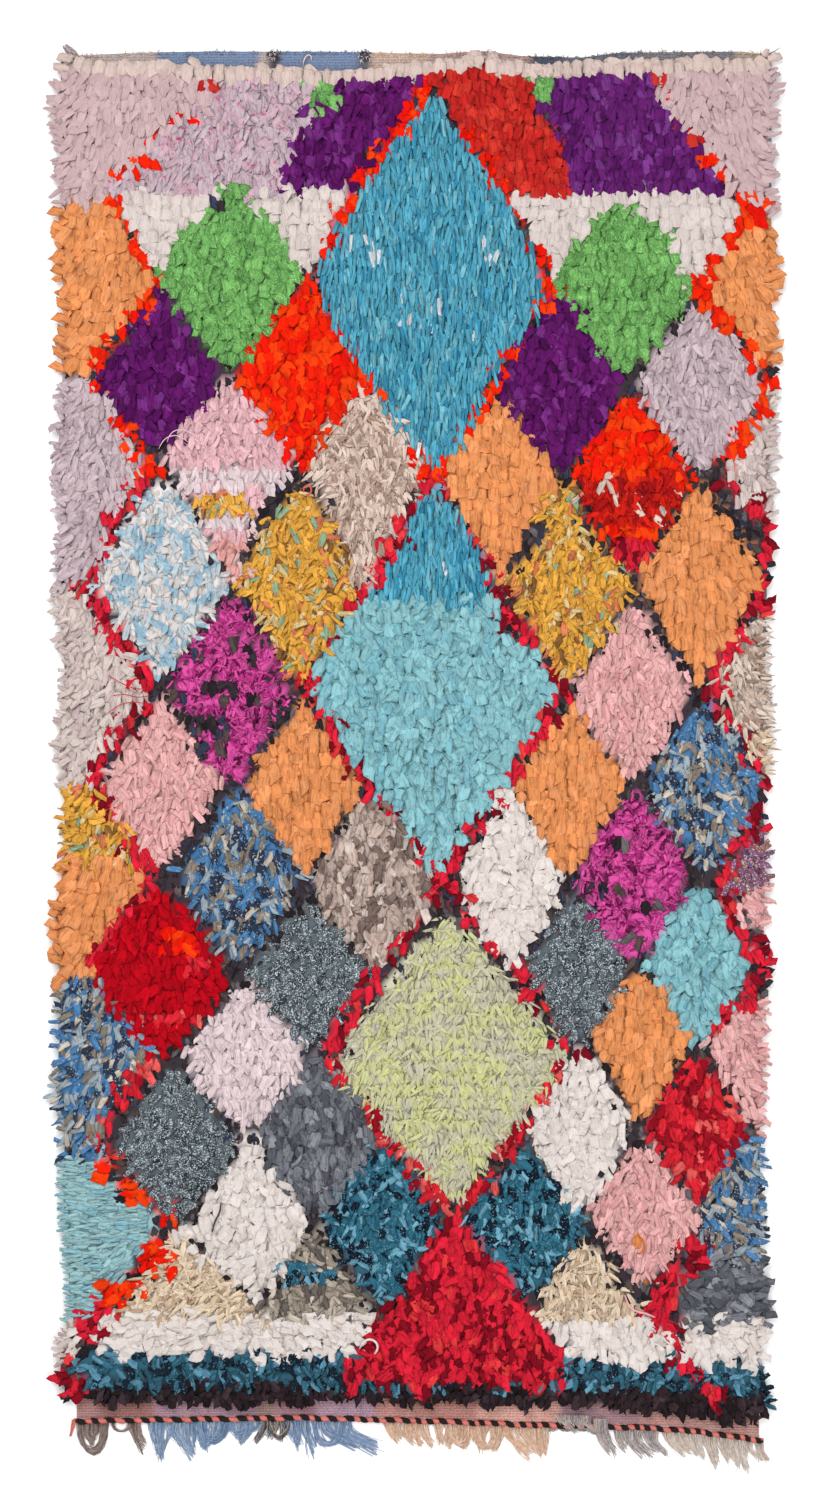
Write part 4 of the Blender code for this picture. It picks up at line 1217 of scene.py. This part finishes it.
def twined_cord():
    """Two cords twined round each other along the band's end: one dark, one salmon."""
    x = np.linspace(TWINED_LINE[0].across, TWINED_LINE[-1].across, 620)
    px, _ = to_pixels(x, 0.0)
    pitch = np.interp(px, (77, 300, 420, 762), (17.0, 16.0, 13.5, 12.5)) * PIXEL
    pitch = pitch * (1.0 + 0.20 * np.sin(px * 0.115) + 0.12 * np.sin(px * 0.31 + 1.0))
    phase = np.concatenate(([0.0], np.cumsum(np.diff(x) / pitch[1:]))) * 2.0 * math.pi
    sway = 0.0006 * np.sin(px * 0.13) + 0.0005 * np.sin(px * 0.29)
    pieces = []
    rows = (
        ("twine_dark", 0.0, 0.0042, (Tone(2, 44, 32, 32), Tone(1, 60, 42, 40))),
        ("twine_salmon", math.pi, 0.0037, (Tone(1, 218, 120, 110),)),
    )
    for name, start, radius, colours in rows:
        turn = phase + start
        y = end_at(TWINED_LINE, x) + sway + CORD_WAVE * np.cos(turn)
        z = 0.0062 + 0.0024 * np.sin(turn)
        path = np.stack((x, y, z), axis=1)[None]
        radii = radius + CORD_SWELL * np.sin(turn)[None]
        batch = tubes(path, radii, 6, np.zeros(1))
        piece = add_piece(name, mesh_of(name, [batch], 80.0), plain_material(name, colours))
        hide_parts("twined_edge")
        pieces.append(piece)
    return pieces


# Fringe yarns: material slot, how many strands gather to one tip, and tones
Fringe = namedtuple("Fringe", "slot tuft colours")
FRINGES = {
    "fringe_brown": Fringe("warp_brown", 4.0, (Tone(2, 136, 116, 110), Tone(1, 108, 90, 86), Tone(1, 160, 142, 134))),
    "fringe_blue_left": Fringe("warp_blue", 4.5, (Tone(3, 134, 156, 184), Tone(1, 108, 132, 166), Tone(1, 168, 184, 204))),
    "fringe_mixed": Fringe("warp_mixed", 1.6, (Tone(1, 84, 70, 64), Tone(1, 176, 158, 136), Tone(1, 124, 134, 150))),
    "fringe_blue_right": Fringe("warp_blue", 3.4, (Tone(3, 126, 150, 184), Tone(1, 104, 124, 158), Tone(1, 166, 178, 196))),
    "fringe_tan": Fringe("warp_tan", 2.2, (Tone(3, 222, 184, 158), Tone(1, 198, 160, 134), Tone(1, 232, 202, 180))),
    "fringe_grey": Fringe("warp_grey", 2.0, (Tone(2, 178, 166, 164), Tone(1, 138, 132, 140), Tone(1, 200, 186, 176))),
    "fringe_cream": Fringe("warp_cream", 2.2, (Tone(2, 212, 196, 184), Tone(1, 186, 166, 154), Tone(1, 222, 210, 200))),
}
THREADS = 14  # to a strand
THREAD_RINGS = 9
THREAD_WIDE = 0.0019
GATHER = 0.56  # how far strands gather to one tip
BOW = 0.36  # how far the outer ones bow outwards
FRIZZ = 0.0014  # how far threads wave
OVER_CORD = 0.0105  # how high threads lie that cross the cord


def strand_places(bunch, size, rng):
    """Roots, tips and lengths of a bunch's strands, which gather in tufts."""
    roots = np.linspace(bunch.root_from, bunch.root_to, bunch.strands)
    tips = np.linspace(bunch.tip_from, bunch.tip_to, bunch.strands)
    tufts = max(1, round(bunch.strands / size))
    tuft = np.minimum(np.arange(bunch.strands) * tufts // bunch.strands, tufts - 1)
    middle = np.array([tips[tuft == k].mean() for k in tuft])
    away = np.abs(tips - middle) / max(np.abs(tips - middle).max(), 1e-6)
    lengths = bunch.length * (1.0 - 0.20 * away) * rng.uniform(0.90, 1.0, bunch.strands)
    lengths = lengths * rng.uniform(0.86, 1.08, tufts)[tuft]
    return roots, tips + GATHER * (middle - tips), lengths


def loop_places(loop, share, rng):
    """Paths of the threads of a loop, which lies on the floor."""
    turn = share * math.pi
    off = rng.normal(0.0, 0.10 * (loop.right - loop.left), (loop.threads, 1))
    half = (loop.right - loop.left) / 2 + off
    middle = (loop.left + loop.right) / 2 + rng.normal(0.0, 0.0020, (loop.threads, 1))
    hang = loop.hang * rng.uniform(0.80, 1.04, (loop.threads, 1))
    wave = rng.normal(0.0, FRIZZ, (loop.threads, 1)) * np.sin(turn * rng.uniform(1.0, 5.0, (loop.threads, 1)))
    across = middle - half * np.cos(turn) + wave
    along = end_at(TWINED_LINE, across) - 0.0015 - hang * np.sin(turn) ** 0.8 + wave * np.sin(turn)
    height = 0.0009 + rng.uniform(0.0, 0.0030, (loop.threads, 1)) + 0.0012 * np.cos(turn) ** 8
    return np.stack((across, along, height * np.ones_like(across)), axis=2)


def fringe_pieces():
    """Warp ends: each strand a bunch of fine threads that lies on the floor."""
    rng = np.random.default_rng(SEED + 2)
    pieces = []
    share = np.linspace(0.0, 1.0, THREAD_RINGS)
    for strip, look in FRINGES.items():
        paths, radii = [], []
        for bunch in (row for row in BUNCHES if row.strip == strip):
            roots, tips, lengths = strand_places(bunch, look.tuft, rng)
            pitch = (bunch.root_to - bunch.root_from) / max(bunch.strands - 1, 1)
            for root, tip, length in zip(roots, tips, lengths):
                spread = rng.normal(0.0, 0.46 * pitch, (THREADS, 1)) * (1.0 - 0.66 * share)
                bow = BOW * (root - tip) * np.sin(share * math.pi) + rng.normal(0.0, 0.0016) * np.sin(share * 4.0)
                turns = rng.uniform(5.0, 13.0, (THREADS, 1)) * share + rng.uniform(0.0, 6.3, (THREADS, 1))
                frizz = rng.normal(0.0, FRIZZ, (THREADS, 1)) * np.sin(turns) * (0.3 + share)
                stray = rng.normal(0.0, 0.0080, (THREADS, 1)) * (rng.random((THREADS, 1)) < 0.12) * share**2
                across = root + (tip - root) * share + spread + bow + frizz + stray
                reach = length * rng.uniform(0.74, 1.04, (THREADS, 1))
                start = end_at(TWINED_LINE, root) - 0.0015 + bunch.over
                along = start - share * reach
                height = 0.0009 + rng.uniform(0.0, 0.0030, (THREADS, 1)) * (1.0 - 0.7 * share)
                height = height + 0.0016 * np.exp(-(share**2) / 0.02)
                past = (share * reach - bunch.over) / 0.018
                height = height + OVER_CORD * (bunch.over > 0.0) * (1.0 - smooth(past))
                paths.append(np.stack((across, along, height * np.ones_like(across)), axis=2))
                radii.append(THREAD_WIDE / 2 * rng.uniform(0.7, 1.3, (THREADS, 1)) * (1.0 - 0.5 * share))
        for loop in (row for row in LOOPS if row.strip == strip):
            paths.append(loop_places(loop, share, rng))
            radii.append(THREAD_WIDE / 2 * rng.uniform(0.7, 1.1, (loop.threads, 1)) * np.ones_like(share))
        paths, radii = np.concatenate(paths), np.concatenate(radii)
        batch = tubes(paths, radii, 3, rng.random(len(paths)))
        name = strip.replace("fringe", "threads")
        piece = add_piece(name, mesh_of(name, [batch], 80.0), plain_material(name, look.colours))
        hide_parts(strip)
        pieces.append(piece)
    return pieces


# Loose ends at the corners: three places each, then how wide they start, their node, slot and tones
Tail = namedtuple("Tail", "name x0 y0 x1 y1 x2 y2 wide node slot colours")
TAILS = (
    Tail("knot_header_left", -0.604, 1.2275, -0.615, 1.238, -0.622, 1.246, 0.0050, "tail_header_left",
         "tail_mauve", (Tone(1, 176, 160, 162), Tone(1, 140, 128, 134))),
    Tail("ends_header_right", 0.628, 1.2295, 0.640, 1.235, 0.650, 1.2415, 0.0018, "tail_header_right",
         "tail_navy", (Tone(1, 70, 84, 112), Tone(1, 110, 120, 140))),
    Tail("end_twined", -0.6060, -1.199, -0.609, -1.215, -0.613, -1.230, 0.0032, "tail_twined",
         "tail_salmon", (Tone(1, 214, 120, 104),)),
)


def tails():
    """Loose ends, each a few soft strands that taper to the tip."""
    rng = np.random.default_rng(SEED + 3)
    pieces = []
    share = np.linspace(0.0, 1.0, 9)
    for row in TAILS:
        count = 7
        x = np.interp(share, (0.0, 0.5, 1.0), (row.x0, row.x1, row.x2))
        y = np.interp(share, (0.0, 0.5, 1.0), (row.y0, row.y1, row.y2))
        off = rng.normal(0.0, row.wide * 0.5, (count, 1)) * (1.0 - 0.3 * share)
        wave = rng.normal(0.0, row.wide * 0.3, (count, 9))
        height = row.wide * rng.uniform(0.5, 1.3, (count, 1)) * (1.0 - 0.4 * share)
        paths = np.stack((x + off + wave * 0.3, y + off * 0.4 + wave * 0.2, height + np.zeros((count, 9))), axis=2)
        radii = row.wide * 0.42 * rng.uniform(0.8, 1.1, (count, 1)) * (1.0 - 0.55 * share)
        batch = tubes(paths, radii, 5, rng.random(count))
        piece = add_piece(row.name, mesh_of(row.name, [batch], 80.0), plain_material(row.name, row.colours))
        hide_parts(row.node)
        pieces.append(piece)
    return pieces


HEADER_FUZZ = 420  # short threads along the header's edge
KNOT_THREADS = 46  # in each dark knot of warp ends there
HEADER_KNOTS = (274.0, 365.0)  # pixels across


def header_fuzz():
    """Short ends and fuzz along the header's edge, in its colours, and its two dark speckled knots."""
    rng = np.random.default_rng(SEED + 4)
    share = np.linspace(0.0, 1.0, 4)
    ends = np.array([row.to for row in HEADER_CLOTH], float)
    x = rng.uniform(HEADER_EDGE[0].across, HEADER_EDGE[-1].across, HEADER_FUZZ)
    number = np.searchsorted(ends, to_pixels(x, 0.0)[0])
    y = end_at(HEADER_EDGE, x) - rng.uniform(0.0, 0.006, HEADER_FUZZ)
    turn = rng.uniform(0.0, math.pi, HEADER_FUZZ)
    length = rng.uniform(0.003, 0.008, HEADER_FUZZ)
    for middle in HEADER_KNOTS:
        at, _ = to_metres(middle, 0.0)
        x = np.append(x, at + rng.normal(0.0, 0.005, KNOT_THREADS))
        y = np.append(y, end_at(HEADER_EDGE, at) - rng.uniform(-0.001, 0.016, KNOT_THREADS))
        turn = np.append(turn, rng.uniform(0.0, 2.0 * math.pi, KNOT_THREADS))
        length = np.append(length, rng.uniform(0.004, 0.010, KNOT_THREADS))
        number = np.append(number, len(ends) + rng.integers(0, 3, KNOT_THREADS))
    bend = turn[:, None] + rng.normal(0.0, 0.9, (len(x), 1)) * share
    across = x[:, None] + length[:, None] * share * np.cos(bend)
    along = y[:, None] + length[:, None] * share * np.sin(bend)
    height = CLOTH_THICK + rng.uniform(0.0, 0.0014, (len(x), 1)) + 0.0020 * np.sin(share * math.pi)
    paths = np.stack((across, along, height), axis=2)
    radii = rng.uniform(0.0007, 0.0013, (len(x), 1)) * (1.0 - 0.4 * share)
    tones = [Tone(1, row.red, row.green, row.blue) for row in HEADER_CLOTH]
    tones += [Tone(1, 58, 50, 54), Tone(1, 84, 74, 78), Tone(1, 206, 200, 200)]
    batch = tubes(paths, radii, 3, (number + 0.5) / len(tones))
    piece = add_piece("header_fuzz", mesh_of("header_fuzz", [batch], 80.0),
                      plain_material("header_fuzz", tones))
    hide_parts("ground_weave")
    return piece


# Loose curls of rag on the pile: how thick, how high, colour as seen, and places in pixels
Curl = namedtuple("Curl", "thick high red green blue places")
CURLS = (
    Curl(0.0046, 0.034, 228, 214, 208, ((360, 1346), (363, 1338), (370, 1335), (377, 1338), (379, 1346), (374, 1352))),
    Curl(0.0044, 0.034, 234, 172, 174, ((624, 1293), (627, 1303), (635, 1309), (645, 1310), (654, 1315))),
    Curl(0.0036, 0.035, 78, 66, 66, ((222, 1200), (221, 1210), (216, 1218), (213, 1230))),
    Curl(0.0034, 0.034, 224, 96, 84, ((304, 494), (304, 488), (309, 486), (313, 490), (311, 496), (306, 497))),
    Curl(0.0026, 0.008, 222, 204, 190, ((303, 68), (304, 60), (308, 55), (312, 57), (311, 62))),
    Curl(0.0018, 0.034, 206, 34, 44, ((152, 688), (138, 690), (124, 684), (110, 676))),
    Curl(0.0018, 0.034, 206, 34, 44, ((150, 704), (136, 702), (122, 704), (108, 714))),
    Curl(0.0018, 0.034, 198, 26, 36, ((152, 696), (138, 698), (126, 694), (114, 696))),
    Curl(0.0018, 0.034, 206, 34, 44, ((146, 712), (132, 722), (120, 726), (106, 736))),
    Curl(0.0018, 0.035, 228, 206, 208, ((168, 444), (172, 434), (182, 430), (196, 436), (206, 446))),
    Curl(0.0018, 0.035, 228, 206, 208, ((160, 450), (166, 440), (178, 436), (190, 444))),
    Curl(0.0040, 0.034, 220, 112, 40, ((638, 1234), (643, 1239), (643, 1247), (637, 1252))),
)


def curls():
    """Loose curls of rag that lie on the pile, each bent through its places."""
    t = np.linspace(0.0, 1.0, 14)
    paths, radii = [], []
    for row in CURLS:
        px, py = np.array(row.places, float).T
        stops = np.linspace(0.0, 1.0, len(px))
        bent = [np.interp(t, stops, px), np.interp(t, stops, py)]
        for line in bent:
            for _ in range(3):
                line[1:-1] = 0.25 * line[:-2] + 0.5 * line[1:-1] + 0.25 * line[2:]
        x, y = to_metres(bent[0], bent[1])
        z = row.high - 0.010 * (2.0 * t - 1.0) ** 6
        paths.append(np.stack((x, y, z), axis=1))
        radii.append(row.thick / 2 * (1.0 - 0.4 * (2.0 * t - 1.0) ** 4))
    count = len(CURLS)
    batch = tubes(np.array(paths), np.array(radii), 5, (np.arange(count) + 0.5) / count)
    tones = [Tone(1, row.red, row.green, row.blue) for row in CURLS]
    piece = add_piece("curls", mesh_of("curls", [batch], 80.0), plain_material("rag_curls", tones))
    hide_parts("pile")
    return piece


def area_light(name, place, size, power):
    data = bpy.data.lights.new(name, "AREA")
    data.shape = "SQUARE"
    data.size = size
    data.energy = power
    light = bpy.data.objects.new(name, data)
    light.location = place
    light.rotation_euler = (-light.location).to_track_quat("-Z", "Y").to_euler()
    bpy.context.scene.collection.objects.link(light)


def studio():
    """A near-white floor, soft light from above, and the camera straight over the rug."""
    mesh = bpy.data.meshes.new("floor")
    reach = 9.0
    corners = [(-reach, -reach, 0.0), (reach, -reach, 0.0), (reach, reach, 0.0), (-reach, reach, 0.0)]
    mesh.from_pydata(corners, [], [(0, 1, 2, 3)])
    floor = bpy.data.objects.new("floor", mesh)
    floor.location.z = -0.0006
    bpy.context.scene.collection.objects.link(floor)
    material = bpy.data.materials.new("floor_white")
    material.use_nodes = True
    shader = material.node_tree.nodes["Principled BSDF"]
    shader.inputs["Base Color"].default_value = (0.93, 0.93, 0.93, 1.0)
    shader.inputs["Roughness"].default_value = 0.9
    shader.inputs["Specular IOR Level"].default_value = 0.1
    mesh.materials.append(material)
    world = bpy.data.worlds.new("studio")
    bpy.context.scene.world = world
    world.use_nodes = True
    background = world.node_tree.nodes["Background"]
    background.inputs["Color"].default_value = (1.0, 1.0, 1.0, 1.0)
    background.inputs["Strength"].default_value = 0.60
    area_light("key", (-1.2, 1.9, 4.4), 3.0, 196.0)
    area_light("fill", (2.0, -1.6, 4.2), 3.0, 113.0)
    lens = 81.0
    data = bpy.data.cameras.new("camera")
    data.lens = lens
    data.sensor_width = 36.0
    camera = bpy.data.objects.new("camera", data)
    x, y = to_metres(VIEW_X, VIEW_Y)
    camera.location = (x, y, VIEW_LENGTH * lens / data.sensor_width)
    bpy.context.scene.collection.objects.link(camera)
    bpy.context.scene.camera = camera
    bpy.context.scene.view_settings.view_transform = "Standard"
    bpy.context.scene.view_settings.look = "None"


pile_bed()
cloth = ground_cloth()
cords = twined_cord()
fringe = fringe_pieces()
loose = tails()
fuzz = header_fuzz()
pile_pieces()
curls()
studio()
